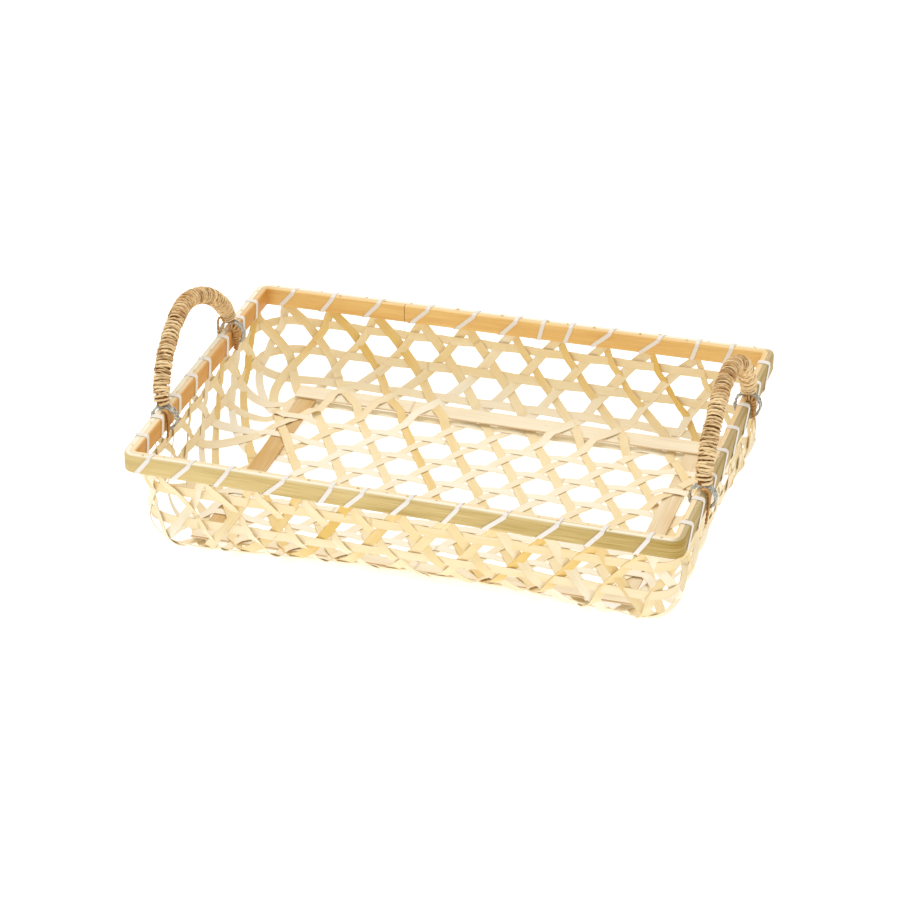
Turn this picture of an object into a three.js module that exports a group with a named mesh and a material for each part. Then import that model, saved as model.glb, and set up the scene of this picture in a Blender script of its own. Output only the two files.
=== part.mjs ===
// Handled basket: a shallow rectangular tray of open hexagonal bamboo weave, bound between
// two split-bamboo rim hoops, with an arched twine-wound handle tied over each short rim.
// Millimetres, +Z up, +X the long way. The origin is the middle of the face it stands on.
import * as THREE from 'three';

// Overall sizes
const RIM_LENGTH = 360;
const RIM_DEPTH = 260;
const RIM_TOP = 70;
const LEFT_HANDLE_TOP = 120;
const RIGHT_HANDLE_TOP = 124;

// Shape of the woven tray
const WALL_INSET = 5;
const BEND_RADIUS = 33;
const FLOOR_CORNER = 6;
const CORNER_FLARE = 0.7;
const RIM_BLEND = 14;

// Weave
const STRIP_WIDTH = 6.5;
const STRIP_THICKNESS = 0.4;
const LAYER_GAP = 0.6;
const LONG_CROSSINGS = 11;
const SHORT_CROSSINGS = 8;
const ROW_HEIGHT = 21;
const FLOOR_ROWS = 8;
const DIAGONALS = 14;
const CORNER_PASS = 7.6;
const FLOOR_TO_WALL_SHARE = 0.87;
const EDGE_CROSSING = 2.5;
const EDGE_EASING = 0.9;
const FOLD_CROSSING = 1.5;
const FOLD_EASING = 0.8;
const CORNER_SPREAD = 3;
const STRIP_TIP_DROP = 3;
const LAYER_RAMP = 2.5;
const LAYER_CHANGE_START_SHARE = 0.29;
const LAYER_CHANGE_LENGTH_SHARE = 0.17;

// Rim
const RIM_HEIGHT = 12.5;
const RIM_HOOP = 1.8;
const RIM_INNER_CORNER = 0.8;
const SLOT_CLEARANCE = 0.3;
const LASHING_WIDTH = 3.6;
const LASHING_THICKNESS = 0.8;
const LASHING_CLEARANCE = 0.3;

// Floor slats
const SLAT_WIDTH = 13;
const SLAT_THICKNESS = 1.6;
const SHORT_SLAT_INSET = 44.5;
const LONG_SLAT_INSET = 29.5;
const LONG_SLAT_END_INSET = 36;
const SLAT_LAP = 1;
const SLAT_CLEARANCE = 0.7;

// Handles
const HANDLE_PITCHES = 2;
const LEFT_HANDLE_LEAN = 9.5;
const ARCH_POWER = 1.22;
const CORE_RADIUS = 3.2;
const WINDING_CLEARANCE = 0.4;
const WINDING_THICKNESS = 1.3;
const WINDING_TURNS = 24;
const WINDING_GAP = 0.8;
const TIE_RADIUS = 0.8;
const TIE_CLEARANCE = 0.5;
const FOOT_CLEARANCE = 0.3;

// Facets
const BEND_STEPS = 7;
const WALL_STEPS = 3;
const CORNER_WALL_STEPS = 8;
const CORNER_STEPS = 8;
const RIM_CORNER_STEPS = 4;
const TURN_STEPS = 8;
const ARCH_STEPS = 20;
const CORE_SIDES = 8;
const TIE_STEPS = 20;
const TIE_SIDES = 6;
const CURVE_STEP = 0.25;

// Values that follow from the sizes above
const LAYER_STEP = STRIP_THICKNESS + LAYER_GAP;
const TOP_LAYER = 3;
const STACK = TOP_LAYER * LAYER_STEP + STRIP_THICKNESS;
const RIM_WIDTH = 2 * RIM_HOOP + STACK + 2 * SLOT_CLEARANCE;
const RIM_CORNER = RIM_INNER_CORNER + RIM_WIDTH;
const RIM_BOTTOM = RIM_TOP - RIM_HEIGHT;
const FLAT_X = RIM_LENGTH / 2 - WALL_INSET - BEND_RADIUS;
const FLAT_Y = RIM_DEPTH / 2 - WALL_INSET - BEND_RADIUS;
const FLARE = WALL_INSET - RIM_HOOP - SLOT_CLEARANCE;
const SLOT_CORNER = RIM_CORNER - RIM_HOOP - SLOT_CLEARANCE;
const LONG_HALF = LONG_CROSSINGS / 2;
const QUARTER = (LONG_CROSSINGS + SHORT_CROSSINGS) / 2;
const BEND_LENGTH = BEND_RADIUS * Math.PI / 2;
const FLOOR_TO_WALL = FLOOR_TO_WALL_SHARE * BEND_LENGTH;
const LAYER_CHANGE_START = LAYER_CHANGE_START_SHARE * BEND_LENGTH;
const LAYER_CHANGE_LENGTH = LAYER_CHANGE_LENGTH_SHARE * BEND_LENGTH;
const LEAN = 1 / (2 * ROW_HEIGHT);
const CROSSING_LINE = lineAtHeight(RIM_BOTTOM);
const TIP_LINE = lineAtHeight(RIM_TOP - STRIP_TIP_DROP);
const UPPER_HOOP_LINE = CROSSING_LINE - ROW_HEIGHT / 2;
const LOWER_HOOP_LINE = CROSSING_LINE - 3 * ROW_HEIGHT / 2;
const FOLD_LINE = CROSSING_LINE - 5 * ROW_HEIGHT / 2;
const EDGE_LINE = CROSSING_LINE - 7 * ROW_HEIGHT / 2;
const ROW_SPACING = 2 * (FLAT_Y + EDGE_LINE) / (FLOOR_ROWS - 1);
const HALF_DIAGONALS = (DIAGONALS - 1) / 2;
const DIAGONAL_PITCH = (FLAT_X + CORNER_PASS) / (HALF_DIAGONALS - FLAT_Y / (2 * ROW_SPACING));
const DIAGONAL_LEAN = DIAGONAL_PITCH / (2 * ROW_SPACING);
const FRONT_DIAGONALS = LONG_CROSSINGS - 2;

const basket = new THREE.Group();

// Colours of the pieces
const CREAM = 0xf1dcaa;
const GOLDEN = 0xe6c47c;
const PEACH = 0xe9c796;
const OLIVE = 0xc9b272;
const TAN = 0xdca862;
const WHITE = 0xf3ece0;
const JUTE = 0xb98a56;
const WIRE = 0x98a08f;

function addPiece(name, geometry, color, roughness) {
  const material = new THREE.MeshStandardMaterial({ color, roughness, metalness: 0 });
  const mesh = new THREE.Mesh(geometry, material);
  mesh.name = name;
  basket.add(mesh);
  return mesh;
}

function smooth(value) {
  return THREE.MathUtils.smoothstep(value, 0, 1);
}

// A closed body through rings of points. An open row of rings gets a cap at each end.
// Opposite faces of a ribbon take the same diagonal, so a twisted ribbon keeps its thickness.
function sweep(rings, closed = false) {
  const sides = rings[0].length;
  const triangles = [];
  const last = closed ? rings.length : rings.length - 1;
  for (let i = 0; i < last; i += 1) {
    const here = i * sides;
    const there = ((i + 1) % rings.length) * sides;
    for (let j = 0; j < sides; j += 1) {
      const next = (j + 1) % sides;
      if (j < sides / 2) {
        triangles.push([here + j, there + j, there + next], [here + j, there + next, here + next]);
      } else {
        triangles.push([here + j, there + j, here + next], [there + j, there + next, here + next]);
      }
    }
  }
  if (!closed) {
    const end = (rings.length - 1) * sides;
    for (let j = 1; j < sides - 1; j += 1) {
      triangles.push([0, j, j + 1], [end, end + j + 1, end + j]);
    }
  }
  const points = rings.flat();
  const side = new THREE.Vector3();
  const volume = triangles.reduce((sum, [a, b, c]) => {
    return sum + points[a].dot(side.crossVectors(points[b], points[c]));
  }, 0);
  const facing = volume > 0 ? triangles : triangles.map(([a, b, c]) => [a, c, b]);
  const geometry = new THREE.BufferGeometry().setFromPoints(points);
  geometry.setIndex(facing.flat());
  geometry.computeVertexNormals();
  return geometry;
}

// The least distance between points of a winding that are at least half a turn apart.
function leastGap(rings, stepsPerTurn) {
  let least = Infinity;
  for (let i = 0; i < rings.length; i += 1) {
    for (let j = i + Math.ceil(stepsPerTurn / 2); j < rings.length; j += 1) {
      for (const a of rings[i]) {
        for (const b of rings[j]) {
          least = Math.min(least, a.distanceTo(b));
        }
      }
    }
  }
  return least;
}

// The woven surface. A place on the wall has a round-the-tray count of crossings, which is 0 at
// the middle of the front and grows towards the right, and a line, which is the length up the
// profile from the edge of the flat floor. Depth is measured inwards from the outer face.
function lineAtHeight(z) {
  return BEND_LENGTH + z - BEND_RADIUS;
}

function profile(line) {
  const angle = THREE.MathUtils.clamp(line / BEND_RADIUS, 0, Math.PI / 2);
  const rise = Math.max(line - BEND_LENGTH, 0);
  const flare = FLARE * smooth(rise / (RIM_BOTTOM - BEND_RADIUS));
  return {
    out: BEND_RADIUS * Math.sin(angle) + flare + Math.min(line, 0),
    up: BEND_RADIUS * (1 - Math.cos(angle)) + rise,
    sin: Math.sin(angle),
    cos: Math.cos(angle),
  };
}

// The quadrant of a count, and the count from the middle of that quadrant's long side.
function foldCount(count) {
  const turns = THREE.MathUtils.euclideanModulo(count, 4 * QUARTER);
  const quadrant = Math.floor(turns / QUARTER);
  const along = turns - quadrant * QUARTER;
  return { quadrant, local: quadrant % 2 === 0 ? along : QUARTER - along };
}

// A point on a rounded rectangle, with the crossings spread evenly from the middle of each
// side to the middle of each corner.
function planPoint(count, halfLength, halfDepth, radius) {
  const { quadrant, local } = foldCount(count);
  const straightX = halfLength - radius;
  const straightY = halfDepth - radius;
  const arcHalf = radius * Math.PI / 4;
  const point = new THREE.Vector2();
  if (local <= LONG_HALF) {
    const run = (local / LONG_HALF) * (straightX + arcHalf);
    const angle = Math.max(run - straightX, 0) / radius;
    point.set(Math.min(run, straightX) + radius * Math.sin(angle), -straightY - radius * Math.cos(angle));
  } else {
    const run = ((QUARTER - local) / (QUARTER - LONG_HALF)) * (straightY + arcHalf);
    const angle = Math.max(run - straightY, 0) / radius;
    point.set(straightX + radius * Math.cos(angle), -Math.min(run, straightY) - radius * Math.sin(angle));
  }
  const mirrorX = quadrant === 0 || quadrant === 1 ? 1 : -1;
  const mirrorY = quadrant === 0 || quadrant === 3 ? 1 : -1;
  return point.set(point.x * mirrorX, point.y * mirrorY);
}

function planCorner(out, up, depth) {
  const blend = smooth((up - RIM_BOTTOM + RIM_BLEND) / RIM_BLEND);
  return THREE.MathUtils.lerp(FLOOR_CORNER + CORNER_FLARE * out, SLOT_CORNER - depth, blend);
}

function wallPoint(count, line, depth) {
  const { out, up, sin, cos } = profile(line);
  const reach = out - depth * sin;
  const height = up + depth * cos;
  const radius = planCorner(reach, height, depth);
  const { x, y } = planPoint(count, FLAT_X + reach, FLAT_Y + reach, radius);
  return new THREE.Vector3(x, y, height);
}

// A strip is a row of stations, each on the wall or on the flat floor, with its layer: 0 is the
// outermost layer, which is the lowest one on the floor, and 3 is the innermost.
function wallStation(count, line, layer) {
  return { onFloor: false, count, line, layer };
}

function floorStation(x, y, layer) {
  return { onFloor: true, x, y, layer };
}

function mirrorLeftRight(stations) {
  return stations.map((station) => ({
    ...station, count: -station.count, x: -station.x, layer: TOP_LAYER - station.layer,
  }));
}

function mirrorFrontBack(stations) {
  return stations.map((station) => ({
    ...station, count: 2 * QUARTER - station.count, y: -station.y, layer: TOP_LAYER - station.layer,
  }));
}

function stationPoint(station, depth) {
  if (station.onFloor) {
    return new THREE.Vector3(station.x, station.y, depth);
  }
  return wallPoint(station.count, station.line, depth);
}

// The four corners of a strip at a station: its width lies in the surface, across its run.
function stripRing(station, run) {
  const outer = station.layer * LAYER_STEP;
  const inner = outer + STRIP_THICKNESS;
  if (station.onFloor) {
    const across = new THREE.Vector3(-run.y, run.x, 0).setLength(STRIP_WIDTH / 2);
    return [[-1, outer], [1, outer], [1, inner], [-1, inner]].map(([side, depth]) => {
      return stationPoint(station, depth).addScaledVector(across, side);
    });
  }
  const nudge = 1e-3;
  const { count, line } = station;
  const byCount = wallPoint(count + nudge, line, outer).sub(wallPoint(count - nudge, line, outer));
  const byLine = wallPoint(count, line + nudge, outer).sub(wallPoint(count, line - nudge, outer));
  byCount.divideScalar(2 * nudge);
  byLine.divideScalar(2 * nudge);
  const normal = new THREE.Vector3().crossVectors(byCount, byLine);
  const across = new THREE.Vector3().crossVectors(run, normal).setLength(STRIP_WIDTH / 2);
  const countShift = across.dot(byCount) / byCount.lengthSq();
  const lineShift = across.dot(byLine) / byLine.lengthSq();
  return [[-1, outer], [1, outer], [1, inner], [-1, inner]].map(([side, depth]) => {
    return wallPoint(count + side * countShift, line + side * lineShift, depth);
  });
}

function stripGeometry(stations) {
  const centres = stations.map((station) => stationPoint(station, station.layer * LAYER_STEP));
  const rings = stations.map((station, i) => {
    const before = centres[Math.max(i - 1, 0)];
    const after = centres[Math.min(i + 1, centres.length - 1)];
    const run = new THREE.Vector3();
    run.add(after.clone().sub(centres[i]).normalize());
    run.add(centres[i].clone().sub(before).normalize());
    return stripRing(station, run.normalize());
  });
  return sweep(rings);
}

// Rising strips lean towards growing counts on the way up and falling ones the other way.
function wallCount(crossing, line, lean) {
  return crossing + lean * LEAN * (line - CROSSING_LINE);
}

// A strip end that leaves the flat floor at a count and slope and settles onto its wall line.
function wallEnd({ start, slope, crossing, lean, floorLayer, wallLayer }) {
  const lines = [];
  for (let i = 0; i <= BEND_STEPS; i += 1) {
    lines.push(BEND_LENGTH * i / BEND_STEPS);
  }
  const roundsCorner = Math.abs(foldCount(crossing).local - LONG_HALF) < 2;
  const wallSteps = roundsCorner ? CORNER_WALL_STEPS : WALL_STEPS;
  for (let i = 1; i <= wallSteps; i += 1) {
    lines.push(THREE.MathUtils.lerp(BEND_LENGTH, TIP_LINE, i / wallSteps));
  }
  const settled = wallCount(crossing, FLOOR_TO_WALL, lean);
  return lines.map((line) => {
    const u = Math.min(line / FLOOR_TO_WALL, 1);
    const eased = start * (1 + 2 * u) * (1 - u) ** 2
      + slope * FLOOR_TO_WALL * u * (1 - u) ** 2
      + settled * (3 - 2 * u) * u ** 2
      - lean * LEAN * FLOOR_TO_WALL * (1 - u) * u ** 2;
    const count = line < FLOOR_TO_WALL ? eased : wallCount(crossing, line, lean);
    const change = smooth((line - LAYER_CHANGE_START) / LAYER_CHANGE_LENGTH);
    const layer = THREE.MathUtils.lerp(floorLayer, wallLayer, change);
    return wallStation(count, line, layer);
  });
}

// Lengths per crossing along the edge of the flat floor
const EDGE_ARC = FLOOR_CORNER * (Math.PI / 4 - 1);
const LONG_EDGE_PITCH = (FLAT_X + EDGE_ARC) / LONG_HALF;
const SHORT_EDGE_PITCH = (FLAT_Y + EDGE_ARC) / (QUARTER - LONG_HALF);
const LEFT_LAYER = 2;

// The lower end of a left-leaning diagonal: on the front wall for most, on the right wall for
// those that leave the floor past the front corner.
function diagonalEnd(index) {
  const offset = DIAGONAL_PITCH * (index - HALF_DIAGONALS);
  if (index <= FRONT_DIAGONALS) {
    return wallEnd({
      start: (offset + DIAGONAL_LEAN * FLAT_Y) / LONG_EDGE_PITCH,
      slope: DIAGONAL_LEAN / LONG_EDGE_PITCH,
      crossing: index - 3,
      lean: 1,
      floorLayer: LEFT_LAYER,
      wallLayer: LEFT_LAYER,
    });
  }
  const y = (offset - FLAT_X) / DIAGONAL_LEAN;
  return wallEnd({
    start: QUARTER + y / SHORT_EDGE_PITCH,
    slope: -1 / DIAGONAL_LEAN / SHORT_EDGE_PITCH,
    crossing: 2 * index - 2 * FRONT_DIAGONALS + 2,
    lean: -1,
    floorLayer: LEFT_LAYER,
    wallLayer: TOP_LAYER,
  });
}

function leftDiagonal(index) {
  const lower = diagonalEnd(index).reverse();
  const upper = mirrorLeftRight(mirrorFrontBack(diagonalEnd(DIAGONALS - 1 - index)));
  return [...lower, ...upper];
}

// A long strip of the floor, whose right end climbs the right wall and leans back, away from
// the front, and whose left end is its mirror image.
function longStrip(row) {
  const y = ROW_SPACING * (row - (FLOOR_ROWS - 1) / 2);
  const right = wallEnd({
    start: QUARTER + y / SHORT_EDGE_PITCH,
    slope: 0,
    crossing: LONG_HALF + EDGE_CROSSING + row,
    lean: 1,
    floorLayer: 0,
    wallLayer: 0,
  });
  const half = [floorStation(LAYER_RAMP, y, 0), ...right];
  return [...mirrorLeftRight(half).reverse(), ...half];
}

// A strip that runs along the front fold on one line and rises round both front corners.
function foldStrip(foldLine, crossing, easing) {
  const meeting = wallCount(crossing, foldLine, 1);
  const start = meeting - easing;
  const finish = wallCount(crossing, TIP_LINE, 1);
  const steps = Math.ceil((finish - start) / CURVE_STEP);
  const half = [wallStation(LAYER_RAMP / LONG_EDGE_PITCH, foldLine, 0)];
  for (let i = 0; i <= steps; i += 1) {
    const count = THREE.MathUtils.lerp(start, finish, i / steps);
    const past = count - start;
    const curved = past ** 2 / (4 * easing);
    const rise = past < 2 * easing ? curved : past - easing;
    half.push(wallStation(count, foldLine + rise / LEAN, 0));
  }
  return [...mirrorLeftRight(half).reverse(), ...half];
}

// A strip that comes down the left wall, passes round the front left corner of the floor and
// climbs the front wall.
function cornerStrip() {
  const middle = -LONG_HALF - 0.5;
  const spread = CORNER_SPREAD;
  const reach = spread + LEAN * (TIP_LINE - CROSSING_LINE);
  const easing = 2 * (spread - LEAN * (CROSSING_LINE - EDGE_LINE));
  const steps = 2 * Math.ceil(reach / CURVE_STEP);
  const stations = [];
  for (let i = 0; i <= steps; i += 1) {
    const shift = THREE.MathUtils.lerp(-reach, reach, i / steps);
    const curved = shift ** 2 / (2 * easing) + easing / 2;
    const height = Math.abs(shift) < easing ? curved : Math.abs(shift);
    const layer = THREE.MathUtils.lerp(TOP_LAYER, LEFT_LAYER, smooth(shift + 1));
    stations.push(wallStation(middle + shift, CROSSING_LINE + (height - spread) / LEAN, layer));
  }
  return stations;
}

function addStrip(name, stations, color) {
  addPiece(name, stripGeometry(stations), color, 0.55);
}

function addWeave() {
  for (let index = 1; index < DIAGONALS - 1; index += 1) {
    const stations = leftDiagonal(index);
    addStrip(`diagonal_left_${index}`, stations, GOLDEN);
    addStrip(`diagonal_right_${index}`, mirrorFrontBack(stations), CREAM);
  }
  const edge = foldStrip(EDGE_LINE, LONG_HALF + EDGE_CROSSING, EDGE_EASING);
  addStrip('long_strip_1', edge, CREAM);
  addStrip(`long_strip_${FLOOR_ROWS}`, mirrorFrontBack(edge), CREAM);
  for (let row = 2; row < FLOOR_ROWS; row += 2) {
    const stations = longStrip(row);
    addStrip(`long_strip_${row + 1}`, stations, CREAM);
    addStrip(`long_strip_${FLOOR_ROWS - row}`, mirrorFrontBack(stations), CREAM);
  }
  const fold = foldStrip(FOLD_LINE, LONG_HALF + FOLD_CROSSING, FOLD_EASING);
  addStrip('fold_strip_front', fold, CREAM);
  addStrip('fold_strip_back', mirrorFrontBack(fold), CREAM);
  const corner = cornerStrip();
  addStrip('corner_strip_front_left', corner, GOLDEN);
  addStrip('corner_strip_front_right', mirrorLeftRight(corner), CREAM);
  addStrip('corner_strip_back_left', mirrorFrontBack(corner), CREAM);
  addStrip('corner_strip_back_right', mirrorLeftRight(mirrorFrontBack(corner)), GOLDEN);
}

// A closed rectangular outline with rounded corners, point for point alike at any size.
function roundedOutline(halfLength, halfDepth, radius, steps) {
  const points = [];
  for (let corner = 0; corner < 4; corner += 1) {
    const sideX = corner === 0 || corner === 1 ? 1 : -1;
    const sideY = corner === 1 || corner === 2 ? 1 : -1;
    for (let i = 0; i <= steps; i += 1) {
      const angle = (corner - 1 + i / steps) * Math.PI / 2;
      const x = sideX * (halfLength - radius) + radius * Math.cos(angle);
      const y = sideY * (halfDepth - radius) + radius * Math.sin(angle);
      points.push(new THREE.Vector2(x, y));
    }
  }
  return points;
}

// A wall hoop lies flat against the outside of the strips that it binds.
function addWallHoop(name, middleLine) {
  const section = [
    [middleLine - STRIP_WIDTH / 2, -LAYER_STEP],
    [middleLine + STRIP_WIDTH / 2, -LAYER_STEP],
    [middleLine + STRIP_WIDTH / 2, STRIP_THICKNESS - LAYER_STEP],
    [middleLine - STRIP_WIDTH / 2, STRIP_THICKNESS - LAYER_STEP],
  ];
  const outlines = section.map(([line, depth]) => {
    const { out, up, sin, cos } = profile(line);
    const reach = out - depth * sin;
    const height = up + depth * cos;
    const radius = planCorner(reach, height, depth);
    const outline = roundedOutline(FLAT_X + reach, FLAT_Y + reach, radius, CORNER_STEPS);
    return outline.map(({ x, y }) => new THREE.Vector3(x, y, height));
  });
  const rings = outlines[0].map((_, i) => outlines.map((outline) => outline[i]));
  addPiece(name, sweep(rings, true), CREAM, 0.55);
}

function addRimHoop(name, inset, color) {
  const section = [
    [inset, RIM_BOTTOM],
    [inset, RIM_TOP],
    [inset + RIM_HOOP, RIM_TOP],
    [inset + RIM_HOOP, RIM_BOTTOM],
  ];
  const outlines = section.map(([depth, height]) => {
    const halfLength = RIM_LENGTH / 2 - depth;
    const halfDepth = RIM_DEPTH / 2 - depth;
    const outline = roundedOutline(halfLength, halfDepth, RIM_CORNER - depth, RIM_CORNER_STEPS);
    return outline.map(({ x, y }) => new THREE.Vector3(x, y, height));
  });
  const rings = outlines[0].map((_, i) => outlines.map((outline) => outline[i]));
  addPiece(name, sweep(rings, true), color, 0.45);
}

// Middle line of the rim, on which the lashings turn and the handles stand
const RIM_MIDDLE_X = RIM_LENGTH / 2 - RIM_WIDTH / 2;
const RIM_MIDDLE_Y = RIM_DEPTH / 2 - RIM_WIDTH / 2;
const RIM_MIDDLE_Z = RIM_TOP - RIM_HEIGHT / 2;
const RIM_MIDDLE_CORNER = RIM_CORNER - RIM_WIDTH / 2;
const RIM_ARC = RIM_MIDDLE_CORNER * (Math.PI / 4 - 1);
const LONG_RIM_PITCH = (RIM_MIDDLE_X + RIM_ARC) / LONG_HALF;
const SHORT_RIM_PITCH = (RIM_MIDDLE_Y + RIM_ARC) / (QUARTER - LONG_HALF);

// A flat white strip winds round one side of the rim. It climbs the outer face with half its
// advance, comes down the inner face with the other half and passes under between crossings.
function addLashing(name, middle, outward, pitch, crossings) {
  const along = new THREE.Vector3(0, 0, 1).cross(outward);
  const up = new THREE.Vector3(0, 0, 1);
  const halfWidth = RIM_WIDTH / 2;
  const halfHeight = RIM_HEIGHT / 2;
  const near = LASHING_CLEARANCE;
  const far = LASHING_CLEARANCE + LASHING_THICKNESS;
  const corners = [
    { side: 1, level: -1, onFace: true, advance: 0 },
    { side: 1, level: 1, onFace: true, advance: 0.48 },
    { side: 1, level: 1, onFace: false, advance: 0.49 },
    { side: -1, level: 1, onFace: false, advance: 0.51 },
    { side: -1, level: 1, onFace: true, advance: 0.52 },
    { side: -1, level: -1, onFace: true, advance: 0.97 },
    { side: -1, level: -1, onFace: false, advance: 0.98 },
    { side: 1, level: -1, onFace: false, advance: 0.99 },
  ];
  const rings = [];
  const steps = corners.length * (crossings - 1) + corners.length / 2;
  for (let i = 0; i < steps; i += 1) {
    const { side, level, onFace, advance } = corners[i % corners.length];
    const turns = Math.floor(i / corners.length) + advance;
    const centre = middle.clone().addScaledVector(along, (turns + 0.25 - crossings / 2) * pitch);
    const place = (standOff, shift) => {
      const reach = side * (halfWidth + (onFace ? standOff : 0));
      const height = level * (halfHeight + (onFace ? 0 : standOff));
      const point = centre.clone().addScaledVector(along, shift * LASHING_WIDTH / 2);
      return point.addScaledVector(outward, reach).addScaledVector(up, height);
    };
    rings.push([place(far, -1), place(far, 1), place(near, 1), place(near, -1)]);
  }
  console.log(name, 'least gap', leastGap(rings, corners.length).toFixed(2));
  addPiece(name, sweep(rings), WHITE, 0.5);
}

function addRim() {
  addRimHoop('rim_outer_hoop', 0, OLIVE);
  addRimHoop('rim_inner_hoop', RIM_WIDTH - RIM_HOOP, TAN);
  const level = RIM_MIDDLE_Z;
  const front = new THREE.Vector3(0, -RIM_MIDDLE_Y, level);
  const right = new THREE.Vector3(RIM_MIDDLE_X, 0, level);
  const back = new THREE.Vector3(0, RIM_MIDDLE_Y, level);
  const left = new THREE.Vector3(-RIM_MIDDLE_X, 0, level);
  addLashing('rim_lashing_front', front, new THREE.Vector3(0, -1, 0), LONG_RIM_PITCH, LONG_CROSSINGS);
  addLashing('rim_lashing_right', right, new THREE.Vector3(1, 0, 0), SHORT_RIM_PITCH, SHORT_CROSSINGS);
  addLashing('rim_lashing_back', back, new THREE.Vector3(0, 1, 0), LONG_RIM_PITCH, LONG_CROSSINGS);
  addLashing('rim_lashing_left', left, new THREE.Vector3(-1, 0, 0), SHORT_RIM_PITCH, SHORT_CROSSINGS);
}

// Slats stiffen the floor: a short one across each end lies on the weave, and a long one along
// the front and the back lies on their ends and leans on the fold.
function addSlats() {
  const shortTop = STACK + SLAT_CLEARANCE + SLAT_THICKNESS;
  const longMiddle = RIM_DEPTH / 2 - LONG_SLAT_INSET;
  const innerEdge = longMiddle - SLAT_WIDTH / 2;
  const outerEdge = longMiddle + SLAT_WIDTH / 2;
  const innerRadius = BEND_RADIUS - STACK;
  const foldAngle = Math.asin((outerEdge - FLAT_Y) / innerRadius);
  const outerSeat = BEND_RADIUS - innerRadius * Math.cos(foldAngle) + SLAT_CLEARANCE;
  const innerSeat = shortTop + SLAT_CLEARANCE;
  const tilt = Math.atan2(outerSeat - innerSeat, SLAT_WIDTH);
  const shortLength = 2 * (innerEdge + SLAT_LAP);
  for (const [name, side] of [['left', -1], ['right', 1]]) {
    const box = new THREE.BoxGeometry(SLAT_WIDTH, shortLength, SLAT_THICKNESS);
    const slat = addPiece(`floor_slat_${name}`, box, PEACH, 0.6);
    slat.position.set(side * (RIM_LENGTH / 2 - SHORT_SLAT_INSET), 0, shortTop - SLAT_THICKNESS / 2);
  }
  for (const [name, side] of [['front', -1], ['back', 1]]) {
    const length = RIM_LENGTH - 2 * LONG_SLAT_END_INSET;
    const box = new THREE.BoxGeometry(length, SLAT_WIDTH, SLAT_THICKNESS);
    const slat = addPiece(`floor_slat_${name}`, box, PEACH, 0.6);
    const lift = (innerSeat + outerSeat) / 2 + SLAT_THICKNESS / 2 * Math.cos(tilt);
    slat.position.set(0, side * (longMiddle - SLAT_THICKNESS / 2 * Math.sin(tilt)), lift);
    slat.rotation.x = side * tilt;
  }
}

// Each handle stands over two wire loops that hang round the rim and turn on it
const TIE_BORE = Math.hypot(RIM_WIDTH, RIM_HEIGHT) / 2 + TIE_CLEARANCE;
const WINDING_INNER = (CORE_RADIUS + WINDING_CLEARANCE) / Math.cos(Math.PI / TURN_STEPS);
const WINDING_OUTER = WINDING_INNER + WINDING_THICKNESS;
const FOOT_Z = RIM_MIDDLE_Z + TIE_BORE + 2 * TIE_RADIUS + FOOT_CLEARANCE;
const ARCH_HALF_SPAN = HANDLE_PITCHES * SHORT_RIM_PITCH;

// An arch from the front foot to the back foot, a little more pointed than half an ellipse.
class Arch extends THREE.Curve {
  constructor(x, top) {
    super();
    this.x = x;
    this.rise = top - WINDING_OUTER - FOOT_Z;
  }

  getPoint(share, target = new THREE.Vector3()) {
    const angle = Math.PI * share;
    const reach = -Math.cos(angle);
    const y = ARCH_HALF_SPAN * Math.sign(reach) * Math.abs(reach) ** ARCH_POWER;
    return target.set(this.x, y, FOOT_Z + this.rise * Math.abs(Math.sin(angle)) ** ARCH_POWER);
  }
}

// Twine wound round the arch as one unbroken band, its edges square to the arch.
function windingRings(arch) {
  const length = arch.getLength();
  const pitch = length / WINDING_TURNS;
  const halfBand = (pitch - WINDING_GAP) / 2;
  const travel = length - 2 * halfBand;
  const turns = travel / pitch;
  const steps = Math.round(turns * TURN_STEPS);
  const rings = [];
  for (let i = 0; i <= steps; i += 1) {
    const middle = halfBand + travel * i / steps;
    const angle = 2 * Math.PI * turns * i / steps;
    const place = (shift, radius) => {
      const share = THREE.MathUtils.clamp((middle + shift * halfBand) / length, 0, 1);
      const tangent = arch.getTangentAt(share);
      const outward = new THREE.Vector3(0, -tangent.z, tangent.y);
      const point = arch.getPointAt(share);
      point.addScaledVector(outward, radius * Math.cos(angle));
      point.x += radius * Math.sin(angle);
      return point;
    };
    rings.push([
      place(-1, WINDING_INNER),
      place(1, WINDING_INNER),
      place(1, WINDING_OUTER),
      place(-1, WINDING_OUTER),
    ]);
  }
  return rings;
}

// Turns a shape about the middle line of the short rim at x.
function leanOver(geometry, x, degrees) {
  geometry.translate(-x, 0, -RIM_MIDDLE_Z);
  geometry.rotateY(THREE.MathUtils.degToRad(degrees));
  return geometry.translate(x, 0, RIM_MIDDLE_Z);
}

function addHandle(side, x, top, lean) {
  const arch = new Arch(x, top);
  const circle = new THREE.EllipseCurve(0, 0, CORE_RADIUS, CORE_RADIUS).getPoints(CORE_SIDES);
  const section = new THREE.Shape(circle.slice(0, -1));
  const core = new THREE.ExtrudeGeometry(section, { steps: ARCH_STEPS, extrudePath: arch });
  addPiece(`handle_${side}_core`, leanOver(core, x, lean), JUTE, 0.9);
  const rings = windingRings(arch);
  const name = `handle_${side}_winding`;
  console.log(name, 'least gap', leastGap(rings, TURN_STEPS).toFixed(2));
  addPiece(name, leanOver(sweep(rings), x, lean), JUTE, 0.95);
  for (const [end, sign] of [['front', -1], ['back', 1]]) {
    const loop = new THREE.TorusGeometry(TIE_BORE + TIE_RADIUS, TIE_RADIUS, TIE_SIDES, TIE_STEPS);
    const tie = addPiece(`handle_${side}_tie_${end}`, loop, WIRE, 0.6);
    tie.position.set(x, sign * ARCH_HALF_SPAN, RIM_MIDDLE_Z);
    tie.rotation.x = Math.PI / 2;
  }
}

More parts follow.
